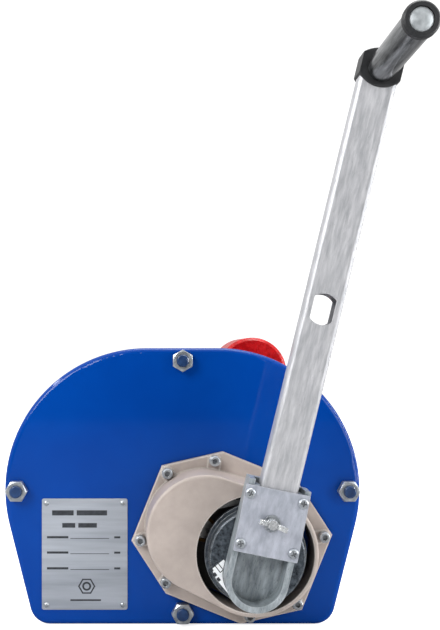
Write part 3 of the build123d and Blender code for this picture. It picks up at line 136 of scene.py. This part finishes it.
def makeFinish(name, own):
    values = {**plainFinish, **own}
    material = bpy.data.materials.new(name)
    material.use_nodes = True
    tree = material.node_tree
    shader = tree.nodes["Principled BSDF"]
    first, second = (linearColour(colour) for colour in values["colours"])
    place = addNode(tree, "ShaderNodeTexCoord").outputs["Object"]
    turned = addNode(
        tree, "ShaderNodeMapping", {"Vector": place, "Rotation": (0, values["lean"], 0)}
    ).outputs["Vector"]
    drawn = addNode(
        tree,
        "ShaderNodeMapping",
        {"Vector": turned, "Scale": [1 / stretch for stretch in values["stretch"]]},
    ).outputs["Vector"]
    patches = addNode(
        tree,
        "ShaderNodeTexNoise",
        {"Vector": drawn, "Scale": 1 / (values["patch"] * mm),
         "Detail": pattern["patchDetail"], "Roughness": pattern["patchHarshness"]},
    ).outputs["Fac"]
    grain = addNode(
        tree,
        "ShaderNodeTexNoise",
        {"Vector": drawn, "Scale": 1 / (values["grain"] * mm),
         "Detail": pattern["grainDetail"], "Roughness": pattern["grainHarshness"]},
    ).outputs["Fac"]
    low, high = pattern["patchStops"]
    shade = addNode(
        tree, "ShaderNodeValToRGB", {"Fac": patches}, stops=[(low, first), (high, second)]
    ).outputs["Color"]
    if values["spangle"]:
        cells = addNode(
            tree,
            "ShaderNodeTexVoronoi",
            {"Vector": drawn, "Scale": 1 / (values["spangleSize"] * mm)},
        ).outputs["Color"]
        facet = addNode(tree, "ShaderNodeSeparateColor", {"Color": cells}).outputs["Red"]
        facetShade = addNode(
            tree, "ShaderNodeValToRGB", {"Fac": facet}, stops=[(0.0, first), (1.0, second)]
        ).outputs["Color"]
        shade = addNode(
            tree,
            "ShaderNodeMix",
            {0: values["spangle"], 6: shade, 7: facetShade},
            data_type="RGBA",
        ).outputs[2]
    if values["specks"]:
        low, high = pattern["speckStops"]
        low -= pattern["speckReach"] * values["specks"]
        speckMask = addNode(
            tree, "ShaderNodeValToRGB", {"Fac": grain}, stops=[(low, grey(0.0)), (high, grey(1.0))]
        ).outputs["Color"]
        shade = addNode(
            tree,
            "ShaderNodeMix",
            {0: speckMask, 6: shade, 7: linearColour(values["speckColour"])},
            data_type="RGBA",
        ).outputs[2]
    rounded = addNode(
        tree, "ShaderNodeBevel", {"Radius": values["edgeRadius"] * mm}, samples=pattern["samples"]
    ).outputs["Normal"]
    # Edge colour: worn paint on some finishes, a painted highlight along the rims on others, broken
    # up by the grain
    if values["edge"]:
        wide = addNode(
            tree,
            "ShaderNodeBevel",
            {"Radius": pattern["edgeReach"] * values["edgeRadius"] * mm},
            samples=pattern["samples"],
        ).outputs["Normal"]
        flat = addNode(tree, "ShaderNodeNewGeometry").outputs["Normal"]
        likeness = addNode(
            tree, "ShaderNodeVectorMath", {0: wide, 1: flat}, operation="DOT_PRODUCT"
        ).outputs["Value"]
        low, high = pattern["edgeStops"]
        edgeMask = addNode(
            tree, "ShaderNodeValToRGB", {"Fac": likeness}, stops=[(low, grey(1.0)), (high, grey(0.0))]
        ).outputs["Color"]
        low, high = pattern["edgeBreakStops"]
        patchy = addNode(
            tree,
            "ShaderNodeValToRGB",
            {"Fac": grain},
            stops=[(low, grey(pattern["edgeBreakLeast"])), (high, grey(1.0))],
        ).outputs["Color"]
        edgeWearAndHighlightMask = addNode(
            tree,
            "ShaderNodeMix",
            {0: values["edgeAmount"], 6: grey(0.0), 7: edgeMask},
            data_type="RGBA",
        ).outputs[2]
        edgeWearAndHighlightMask = addNode(
            tree,
            "ShaderNodeMix",
            {0: 1.0, 6: edgeWearAndHighlightMask, 7: patchy},
            data_type="RGBA",
            blend_type="MULTIPLY",
        ).outputs[2]
        shade = addNode(
            tree,
            "ShaderNodeMix",
            {0: edgeWearAndHighlightMask, 6: shade, 7: linearColour(values["edge"])},
            data_type="RGBA",
        ).outputs[2]
    # Painted shade: the colour darkens towards a dark tone of its own wherever ambient occlusion
    # finds a hollow, a crease or a gap between parts
    if values["hollowShadeAmount"]:
        hollow = addNode(
            tree,
            "ShaderNodeAmbientOcclusion",
            {"Distance": pattern["hollowShadeReach"] * mm},
            samples=pattern["samples"],
        ).outputs["AO"]
        low, high = pattern["hollowShadeStops"]
        paintedShadeMask = addNode(
            tree,
            "ShaderNodeValToRGB",
            {"Fac": hollow},
            stops=[(low, grey(values["hollowShadeAmount"])), (high, grey(0.0))],
        ).outputs["Color"]
        shade = addNode(
            tree,
            "ShaderNodeMix",
            {0: paintedShadeMask, 6: shade, 7: linearColour(values["hollowShade"])},
            data_type="RGBA",
        ).outputs[2]
    low, high = pattern["patchRange"]
    smooth, rough = values["roughness"]
    gloss = addNode(
        tree,
        "ShaderNodeMapRange",
        {"Value": patches, "From Min": low, "From Max": high, "To Min": smooth, "To Max": rough},
    ).outputs["Result"]
    normal = rounded
    if values["waves"]:
        swell = addNode(
            tree,
            "ShaderNodeTexNoise",
            {"Vector": drawn, "Scale": 1 / (values["waveSize"] * mm),
             "Detail": pattern["waveDetail"]},
        ).outputs["Fac"]
        normal = addNode(
            tree,
            "ShaderNodeBump",
            {"Height": swell, "Distance": values["waves"] * mm, "Normal": normal},
        ).outputs["Normal"]
    normal = addNode(
        tree,
        "ShaderNodeBump",
        {"Height": grain, "Distance": values["bump"] * mm, "Normal": normal},
    ).outputs["Normal"]
    tree.links.new(shade, shader.inputs["Base Color"])
    tree.links.new(gloss, shader.inputs["Roughness"])
    tree.links.new(normal, shader.inputs["Normal"])
    shader.inputs["Metallic"].default_value = values["metallic"]
    shader.inputs["Coat Weight"].default_value = values["coat"]
    shader.inputs["Coat Roughness"].default_value = values["coatRoughness"]
    shader.inputs["Specular IOR Level"].default_value = values["specular"]
    return material


# Gloss alkyd enamel, sprayed on pressed steel: deep even blue under a clear wet-looking skin
blueEnamel = makeFinish("blueEnamelSprayed", {
    "colours": ("003687", "003E93"),
    "patch": 160.0,
    "grain": 1.6,
    "roughness": (0.2, 0.26),
    "bump": 0.006,
    "waves": 0.025,
    "waveSize": 9.0,
    "specular": 0.02,
    "edgeRadius": 0.6,
    "edge": "3F78C4",
    "edgeAmount": 0.25,
    "hollowShade": "04152E",
    "coat": 0.45,
    "coatRoughness": 0.05,
})
# The same enamel brushed over rod ends: darker and duller
blueRodPaint = makeFinish("blueEnamelBrushed", {
    "colours": ("08264C", "153C6C"),
    "patch": 6.0,
    "roughness": (0.3, 0.45),
    "bump": 0.03,
    "edge": "5A80AC",
    "edgeAmount": 0.4,
    "coat": 0.2,
})
# Zinc plate on cold-headed steel: pale, slightly blue, with soft bright edges
zincFastener = makeFinish("zincPlatedHardware", {
    "colours": ("A4ABB2", "D2D7DB"),
    "metallic": 0.8,
    "patch": 5.0,
    "grain": 0.6,
    "roughness": (0.24, 0.42),
    "bump": 0.012,
    "edgeRadius": 0.4,
    "edge": "F2F4F5",
    "edgeAmount": 0.6,
    "hollowShade": "25282B",
    "hollowShadeAmount": 0.6,
})
# Bright zinc on the small cast wing bolt: hard white glints painted on its edges, over painted shade
# in its hollows
zincWing = makeFinish("brightZincCastWing", {
    "colours": ("BFC3C5", "E6E8E9"),
    "metallic": 0.75,
    "patch": 2.0,
    "grain": 0.5,
    "roughness": (0.16, 0.3),
    "bump": 0.05,
    "waves": 0.25,
    "waveSize": 2.5,
    "edgeRadius": 0.5,
    "edge": "FFFFFF",
    "edgeAmount": 0.8,
    "hollowShade": "1E2022",
    "hollowShadeAmount": 0.9,
})
# Stove enamel on a sand casting: warm grey, faintly pebbled, pale along its edges as a painted
# highlight
coverPaint = makeFinish("warmGreyPaintOnCasting", {
    "colours": ("A0958E", "B0A49D"),
    "patch": 26.0,
    "grain": 1.1,
    "roughness": (0.4, 0.55),
    "bump": 0.05,
    "waves": 0.12,
    "waveSize": 5.0,
    "edgeRadius": 1.3,
    "edge": "E9E4DD",
    "edgeAmount": 1.0,
    "hollowShade": "4A4039",
    "hollowShadeAmount": 0.5,
    "coat": 0.12,
    "coatRoughness": 0.3,
})
# Grey iron as cast, oiled: dark and pitted
castIron = makeFinish("greyIronAsCast", {
    "colours": ("2E2D2C", "454341"),
    "metallic": 0.6,
    "patch": 12.0,
    "grain": 0.9,
    "roughness": (0.5, 0.7),
    "bump": 0.08,
    "edge": "6C6A67",
    "edgeAmount": 0.4,
})
# Turned and hobbed steel: a fine grain under a film of oil
machinedSteel = makeFinish("turnedSteelOiled", {
    "colours": ("7C7B79", "A3A19D"),
    "metallic": 1.0,
    "patch": 9.0,
    "grain": 0.5,
    "roughness": (0.22, 0.38),
    "bump": 0.015,
    "edge": "D8D6D2",
    "edgeAmount": 0.5,
    "hollowShade": "1F1A15",
    "hollowShadeAmount": 0.7,
})
# Spring wire, drawn and oil-tempered: nearly black with a thin shine
springWire = makeFinish("oilTemperedWire", {
    "colours": ("33302E", "4C4845"),
    "metallic": 1.0,
    "patch": 3.0,
    "grain": 0.4,
    "roughness": (0.3, 0.42),
    "bump": 0.008,
    "edgeRadius": 0.1,
})
# Sintered bronze bushes: dull dark gold with open pores
bushBronze = makeFinish("sinteredBronze", {
    "colours": ("4E3B20", "6A5230"),
    "metallic": 1.0,
    "patch": 6.0,
    "grain": 0.45,
    "roughness": (0.38, 0.52),
    "bump": 0.02,
    "specks": 0.4,
    "speckColour": "3A2A14",
})
# Pressed friction lining: dark brown fibre with dull brass specks
frictionLining = makeFinish("pressedFrictionLining", {
    "colours": ("3A2F27", "4C4036"),
    "patch": 4.0,
    "grain": 0.8,
    "roughness": (0.7, 0.9),
    "bump": 0.05,
    "specks": 0.5,
    "speckColour": "4A3F2C",
})
# Zinc on the turned brake flange: painted dark for the shade it lies in, mottled with dull patches,
# with painted highlight lines along its rims
zincFlange = makeFinish("zincPlatedTurnedFlange", {
    "colours": ("181B21", "6C757E"),
    "metallic": 0.65,
    "patch": 4.0,
    "grain": 0.7,
    "roughness": (0.3, 0.5),
    "bump": 0.03,
    "edgeRadius": 0.6,
    "edge": "E8ECEE",
    "edgeAmount": 0.7,
    "hollowShade": "14171B",
    "hollowShadeAmount": 0.7,
    "specks": 0.7,
    "speckColour": "4C5157",
})
# Zinc plate on pressed cover plate and rope clamp: light grey with rubbed and greasy streaks
zincHub = makeFinish("zincPlatedPressing", {
    "colours": ("A2A7B2", "C0C4CF"),
    "metallic": 0.45,
    "patch": 5.0,
    "grain": 0.7,
    "stretch": (1.0, 1.0, 3.0),
    "lean": -crankLean,
    "roughness": (0.34, 0.48),
    "bump": 0.03,
    "edgeRadius": 0.5,
    "edge": "EEF1F2",
    "edgeAmount": 0.6,
    "hollowShade": "23262A",
    "hollowShadeAmount": 0.55,
    "specks": 0.35,
    "speckColour": "70767B",
})
# The same zinc as the pressings, painted darker, greyer and faintly green as the shade inside the
# hub's pocket, with rubbed streaks
zincPocket = makeFinish("zincPlatedPocketShaded", {
    "colours": ("747D82", "B9C1C6"),
    "metallic": 0.45,
    "patch": 6.0,
    "grain": 0.9,
    "stretch": (1.0, 1.0, 4.0),
    "lean": -crankLean,
    "roughness": (0.3, 0.5),
    "bump": 0.04,
    "edgeRadius": 0.8,
    "edge": "C9CED0",
    "edgeAmount": 0.5,
    "hollowShade": "2A2E2E",
    "hollowShadeAmount": 0.7,
    "specks": 0.7,
    "speckColour": "586064",
})
# Hot-dip galvanised tube: pale mottled spangle with grey runs along the arm
galvanisedTube = makeFinish("hotDipGalvanisedTube", {
    "colours": ("A2A4A8", "CDCDD0"),
    "metallic": 0.45,
    "patch": 3.6,
    "grain": 0.8,
    "stretch": (1.0, 1.0, 7.0),
    "lean": -crankLean,
    "roughness": (0.38, 0.5),
    "bump": 0.02,
    "waves": 0.02,
    "waveSize": 5.0,
    "edgeRadius": 0.6,
    "edge": "B9BBBD",
    "edgeAmount": 0.2,
    "spangle": 0.25,
    "spangleSize": 1.6,
    "specks": 0.3,
    "speckColour": "8B8E91",
    "hollowShadeAmount": 0.3,
})
# Bright zinc on a rolled grip tube: dark and light streaks painted along its length as mirror
# reflections
brightTube = makeFinish("brightZincRolledTube", {
    "colours": ("34373A", "B4B7BA"),
    "metallic": 1.0,
    "patch": 4.0,
    "grain": 0.6,
    "stretch": (1.0, 14.0, 1.0),
    "roughness": (0.14, 0.24),
    "bump": 0.01,
    "edge": "F2F3F4",
    "edgeAmount": 0.4,
})
# Zinc plate on the grip's domed rivet head: satin, catching a soft round light
satinDome = makeFinish("satinZincDome", {
    "colours": ("9DA3A6", "BCC1C4"),
    "metallic": 0.45,
    "patch": 4.0,
    "grain": 0.6,
    "roughness": (0.3, 0.45),
    "bump": 0.02,
    "edge": "E4E8EA",
    "edgeAmount": 0.4,
})
# Moulded black polypropylene: soft sheen, faint grain, greyed corners
blackPlastic = makeFinish("mouldedBlackPolypropylene", {
    "colours": ("1C1D1F", "2A2B2D"),
    "patch": 18.0,
    "grain": 0.7,
    "roughness": (0.38, 0.5),
    "bump": 0.03,
    "edge": "3B3D3F",
    "edgeAmount": 0.6,
})
# Red moulded polyamide roller: glossy, coarse cast skin
redPolyamide = makeFinish("redCastPolyamide", {
    "colours": ("9E0409", "C80C10"),
    "patch": 6.0,
    "grain": 1.8,
    "roughness": (0.2, 0.34),
    "bump": 0.22,
    "waves": 0.3,
    "waveSize": 5.0,
    "edge": "E03A34",
    "edgeAmount": 0.3,
    "hollowShade": "3A0506",
    "specular": 0.3,
    "coat": 0.05,
})
# Black satin enamel on the drum and its roller frame
blackEnamel = makeFinish("blackSatinEnamel", {
    "colours": ("141516", "202123"),
    "patch": 60.0,
    "grain": 1.4,
    "roughness": (0.3, 0.42),
    "bump": 0.02,
    "waves": 0.05,
    "edge": "6A6D70",
    "edgeAmount": 0.5,
})
# Anodised aluminium label: fine brushing from side to side
labelAluminium = makeFinish("brushedLabelAluminium", {
    "colours": ("969CA6", "BCC2CB"),
    "metallic": 0.5,
    "patch": 16.0,
    "grain": 0.7,
    "stretch": (14.0, 1.0, 1.0),
    "roughness": (0.34, 0.46),
    "bump": 0.006,
    "edgeRadius": 0.2,
    "edge": "F2F4F6",
    "edgeAmount": 0.4,
    "hollowShadeAmount": 0.1,
})
# Pressed fibre gasket: dark and matt
fibreGasket = makeFinish("pressedFibreGasket", {
    "colours": ("2A2622", "39332D"),
    "patch": 8.0,
    "grain": 0.8,
    "roughness": (0.75, 0.9),
    "bump": 0.03,
})
# Vinyl film: clean white, slightly scuffed
whiteFilm = makeFinish("whiteVinylFilm", {
    "colours": ("DDE0E3", "F3F4F5"),
    "patch": 9.0,
    "grain": 0.8,
    "roughness": (0.25, 0.4),
    "bump": 0.004,
    "edgeRadius": 0.1,
    "specks": 0.15,
    "speckColour": "B6BABF",
})
# Screen ink: dense, nearly black and matt
printInk = makeFinish("screenPrintedInk", {
    "colours": ("23262C", "3A3E45"),
    "patch": 3.0,
    "grain": 0.5,
    "roughness": (0.45, 0.6),
    "bump": 0.004,
    "edgeRadius": 0.1,
    "hollowShadeAmount": 0.0,
})

finishOf = {
    "front_side_plate": blueEnamel, "rear_side_plate": blueEnamel,
    "tie_rods": blueRodPaint, "tie_rod_nuts": zincFastener,
    "gearbox_cover": coverPaint, "cover_gasket": fibreGasket,
    "cover_screws": zincFastener, "cover_spring_washers": zincFastener,
    "gear_case": castIron, "gear_case_lid": castIron, "gear_case_screws": zincFastener,
    "crank_shaft_bushes": bushBronze, "intermediate_bushes": bushBronze,
    "crank_shaft": machinedSteel, "first_stage_gear": machinedSteel, "gear_key": machinedSteel,
    "intermediate_shaft": machinedSteel, "ring_gear": castIron, "ring_gear_screws": zincFastener,
    "drum_barrel": blackEnamel, "drum_front_flange": blackEnamel,
    "drum_rear_flange": blackEnamel, "drum_hubs": blackEnamel,
    "drum_bushes": bushBronze, "drum_axle": machinedSteel,
    "drum_spacer": zincFastener, "axle_washer": zincFastener, "axle_nut": zincFastener,
    "rope_clamp": zincHub, "rope_clamp_screws": zincFastener,
    "brake_back_flange": machinedSteel, "inner_friction_disc": frictionLining,
    "outer_friction_disc": frictionLining, "ratchet_bush": bushBronze,
    "ratchet_wheel": machinedSteel, "hub_flange": zincFlange,
    "pawl": machinedSteel, "pawl_pin": machinedSteel, "pawl_clip": springWire,
    "pawl_spring": springWire, "crank_hub": zincPocket, "hub_cover_plate": zincHub,
    "hub_plate_screws": zincFastener, "wing_bolt_washer": zincFastener,
    "wing_bolt": zincWing, "direction_sticker": whiteFilm,
    "crank_arm": galvanisedTube, "arm_end_cap": blackPlastic, "grip_pin": zincFastener,
    "grip_pin_head": satinDome, "grip_tube": brightTube, "grip_inner_bush": blackPlastic,
    "grip_end_ring": blackPlastic, "roller_frame": blackEnamel,
    "pressure_roller": redPolyamide, "roller_spindle": zincFastener,
    "spindle_clips": springWire, "label_plate": labelAluminium, "label_rivets": zincFastener,
}
for name, piece in nodes.items():
    piece.data.materials.clear()
    piece.data.materials.append(finishOf[name])
print("finishes set on", len(nodes), "pieces")


# Printed marks are thin inked shapes, drawn in millimetres on the face that carries them
def bar(left, low, right, high):
    return [(left, low), (right, low), (right, high), (left, high)]


def arcBand(centre, inner, outer, start, end, steps):
    angles = [math.radians(start + (end - start) * n / steps) for n in range(steps + 1)]
    pieces = []
    for a, b in zip(angles, angles[1:]):
        corners = ((inner, a), (outer, a), (outer, b), (inner, b))
        pieces.append(
            [(centre[0] + r * math.cos(t), centre[1] + r * math.sin(t)) for r, t in corners]
        )
    return pieces


ink = {"lift": 0.01, "thickness": 0.04}


def addPrint(name, shapes, corner, turn, face, body):
    mesh = bmesh.new()
    right = Vector((math.cos(turn), 0, math.sin(turn)))
    up = Vector((-math.sin(turn), 0, math.cos(turn)))
    start = Vector((corner[0], face, corner[1]))
    for shape in shapes:
        rings = []
        for lift in (ink["lift"], ink["lift"] + ink["thickness"]):
            rings.append([
                mesh.verts.new(start + mm * (x * right + z * up) + Vector((0, -lift * mm, 0)))
                for x, z in shape
            ])
        back, front = rings
        mesh.faces.new(front)
        mesh.faces.new(list(reversed(back)))
        count = len(shape)
        for n in range(count):
            mesh.faces.new((front[n], back[n], back[(n + 1) % count], front[(n + 1) % count]))
    bmesh.ops.recalc_face_normals(mesh, faces=mesh.faces)
    data = bpy.data.meshes.new(name)
    mesh.to_mesh(data)
    mesh.free()
    piece = bpy.data.objects.new(name, data)
    bpy.context.collection.objects.link(piece)
    data.materials.append(printInk)
    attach(piece, body)


# The label carries ruled rows and a plain pictogram, with no words
label = {
    "titleRows": [(10, 64, 92.5, 97.5), (20, 54, 80.5, 85.0)],  # left, right, low, high
    "titleBreak": 0.42,  # where a title row breaks, as a part of its length
    "breakWidth": 3.0,
    "fieldRows": (70.0, 55.0, 39.5),
    "fieldName": (5.0, 26.0),
    "nameHeight": 2.2,
    "fieldRule": (28.0, 66.0),
    "ruleDrop": 0.4,
    "ruleRise": 0.2,
    "fieldUnit": (71.0, 77.0),
    "unitHeight": 2.0,
    "pictogram": (44.0, 23.0),
    "pictogramRadius": 8.5,
    "hexagonWidth": 1.6,
    "ringShares": (0.3, 0.52),  # inner and outer ring radii, as parts of the pictogram's
    "ringSteps": 24,
    "footBar": (-16.0, -14.5, 14.0, -12.8),  # left, low, right, high, from the pictogram
}
(labelLeft, labelFront, labelLow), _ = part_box("label_plate")
shapes = []
halfBreak = label["breakWidth"] / 2
for left, right, lowEdge, highEdge in label["titleRows"]:
    split = left + (right - left) * label["titleBreak"]
    shapes.append(bar(left, lowEdge, split - halfBreak, highEdge))
    shapes.append(bar(split + halfBreak, lowEdge, right, highEdge))
for height in label["fieldRows"]:
    left, right = label["fieldName"]
    shapes.append(bar(left, height, right, height + label["nameHeight"]))
    left, right = label["fieldRule"]
    shapes.append(bar(left, height - label["ruleDrop"], right, height + label["ruleRise"]))
    left, right = label["fieldUnit"]
    shapes.append(bar(left, height, right, height + label["unitHeight"]))
centre, radius = label["pictogram"], label["pictogramRadius"]
inner, outer = (radius * share for share in label["ringShares"])
left, lowEdge, right, highEdge = label["footBar"]
shapes += arcBand(centre, radius - label["hexagonWidth"], radius, 0, 360, 6)  # as on a bolt head
shapes += arcBand(centre, inner, outer, 0, 360, label["ringSteps"])
shapes.append(bar(centre[0] + left, centre[1] + lowEdge, centre[0] + right, centre[1] + highEdge))
addPrint("labelPrint", shapes, (labelLeft, labelLow), 0.0, labelFront, "frame")

# The brake sticker carries an outlined bar and three plain blocks, with no words
sticker = {
    "turn": math.radians(-53.0),
    "frame": (-16.0, 1.0, -6.0, 5.4),  # left, low, right, high
    "line": 0.8,
    "blockPlaces": (-15.0, -9.5, -4.0),
    "blockLow": -5.0,
    "blockSize": (3.6, 2.8),
}
stickerLow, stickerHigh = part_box("direction_sticker")
stickerMiddle = [(a + b) / 2 for a, b in zip(stickerLow, stickerHigh)]
left, lowEdge, right, highEdge = sticker["frame"]
line = sticker["line"]
shapes = [
    bar(left, lowEdge, right, lowEdge + line),
    bar(left, highEdge - line, right, highEdge),
    bar(left, lowEdge + line, left + line, highEdge - line),
    bar(right - line, lowEdge + line, right, highEdge - line),
]
blockWidth, blockHeight = sticker["blockSize"]
for place in sticker["blockPlaces"]:
    shapes.append(
        bar(place, sticker["blockLow"], place + blockWidth, sticker["blockLow"] + blockHeight)
    )
addPrint(
    "stickerPrint",
    shapes,
    (stickerMiddle[0], stickerMiddle[2]),
    sticker["turn"],
    stickerLow[1],
    "crank",
)
print("printed marks added")


# Studio: a pale floor, an even sky and soft panels
studio = {
    "floorColour": "F4F4F4",
    "floorInGloss": "7C7C7E",
    "floorSize": 6.0,
    "floorGlow": 0.8,
    "skyLight": 0.85,
    "domeStops": [(0.0, 0.5), (0.2, 0.7), (1.0, 1.5)],  # shade by height of the direction
    "roomLight": 0.05,
    "roomStops": (-0.85, -0.25),  # from full room to full sky, by the direction's Y
    "backdropWhite": 1.4,
    "floorDrop": 0.0005,  # below the base, so that the two faces don't flicker
}
low, high = cadBox
bpy.ops.mesh.primitive_grid_add(
    x_subdivisions=4, y_subdivisions=4, size=studio["floorSize"],
    location=(0, 0, low[2] - studio["floorDrop"]),
)
floor = bpy.context.object
floor.name = "studioFloor"
floor.data.materials.append(makeFinish("matteStudioFloor", {
    "colours": (studio["floorColour"], studio["floorColour"]),
    "patch": 400.0,
    "roughness": (0.8, 0.9),
    "bump": 0.0,
    "hollowShadeAmount": 0.0,
}))
# The floor glows white to the eye only, so that no white veil lies in the glossy faces above it
floorTree = floor.data.materials[0].node_tree
floorShader = floorTree.nodes["Principled BSDF"]
floorShader.inputs["Emission Color"].default_value = grey(1.0)
rays = addNode(floorTree, "ShaderNodeLightPath").outputs
glow = addNode(
    floorTree,
    "ShaderNodeMath",
    {0: rays["Is Camera Ray"], 1: studio["floorGlow"]},
    operation="MULTIPLY",
).outputs["Value"]
floorTree.links.new(glow, floorShader.inputs["Emission Strength"])
floorShade = addNode(
    floorTree,
    "ShaderNodeMix",
    {0: rays["Is Glossy Ray"], 6: linearColour(studio["floorColour"]),
     7: linearColour(studio["floorInGloss"])},
    data_type="RGBA",
).outputs[2]
floorTree.links.new(floorShade, floorShader.inputs["Base Color"])

world = bpy.data.worlds.new("studioWorld")
bpy.context.scene.world = world
world.use_nodes = True
sky = world.node_tree
background = sky.nodes["Background"]
direction = addNode(
    sky, "ShaderNodeSeparateXYZ", {"Vector": addNode(sky, "ShaderNodeTexCoord").outputs["Generated"]}
).outputs
dome = addNode(
    sky,
    "ShaderNodeValToRGB",
    {"Fac": direction["Z"]},
    stops=[(height, grey(shade)) for height, shade in studio["domeStops"]],
).outputs["Color"]
# The room behind the camera is darker, so that what faces it keeps its own deep colour
room = addNode(
    sky,
    "ShaderNodeMapRange",
    {"Value": direction["Y"], "From Min": studio["roomStops"][0],
     "From Max": studio["roomStops"][1], "To Min": studio["roomLight"], "To Max": 1.0},
).outputs["Result"]
lit = addNode(
    sky, "ShaderNodeMix", {0: 1.0, 6: dome, 7: room}, data_type="RGBA", blend_type="MULTIPLY"
).outputs[2]
seen = addNode(sky, "ShaderNodeLightPath").outputs["Is Camera Ray"]
skyColour = addNode(
    sky, "ShaderNodeMix", {0: seen, 6: lit, 7: grey(studio["backdropWhite"])}, data_type="RGBA"
).outputs[2]
sky.links.new(skyColour, background.inputs["Color"])
background.inputs["Strength"].default_value = studio["skyLight"]


# Each panel: place, what it faces, size and power. The strips light the plates' folded edges from
# the right and from the upper left.
panels = {
    "keyPanel": ((-1.3, -1.6, 1.3), (0, 0, 0.2), (1.2, 0.9), 34.0),
    "fillPanel": ((1.4, -1.2, 0.6), (0, 0, 0.2), (0.7, 1.2), 13.0),
    "rightStrip": ((1.6, -0.05, 0.4), (0, -0.05, 0.2), (0.1, 1.3), 13.0),
    "leftStrip": ((-1.2, -0.05, 1.3), (0, -0.05, 0.2), (1.2, 0.1), 6.0),
    "topPanel": ((0.2, 0.3, 1.9), (0, 0, 0.2), (1.2, 0.8), 15.0),
}
for name, (place, target, size, power) in panels.items():
    light = bpy.data.lights.new(name, "AREA")
    light.shape = "RECTANGLE"
    light.size, light.size_y = size
    light.energy = power
    lamp = bpy.data.objects.new(name, light)
    bpy.context.collection.objects.link(lamp)
    lamp.location = place
    lamp.rotation_euler = (Vector(target) - Vector(place)).to_track_quat("-Z", "Y").to_euler()

# Camera square to the side plates, framed off its axis as a product shot is
view = {
    "place": (-0.0319, -1.081, 0.2681),
    "lens": 81.7,
    "sensor": 36.0,
    "shift": (0.159, 0.084),
}
cameraData = bpy.data.cameras.new("camera")
cameraData.sensor_fit = "HORIZONTAL"
cameraData.sensor_width = view["sensor"]
cameraData.lens = view["lens"]
cameraData.shift_x, cameraData.shift_y = view["shift"]
camera = bpy.data.objects.new("camera", cameraData)
bpy.context.collection.objects.link(camera)
camera.location = view["place"]
camera.rotation_euler = (math.pi / 2, 0, 0)
bpy.context.scene.camera = camera
bpy.context.scene.view_settings.view_transform = "Standard"
print("studio and camera set")
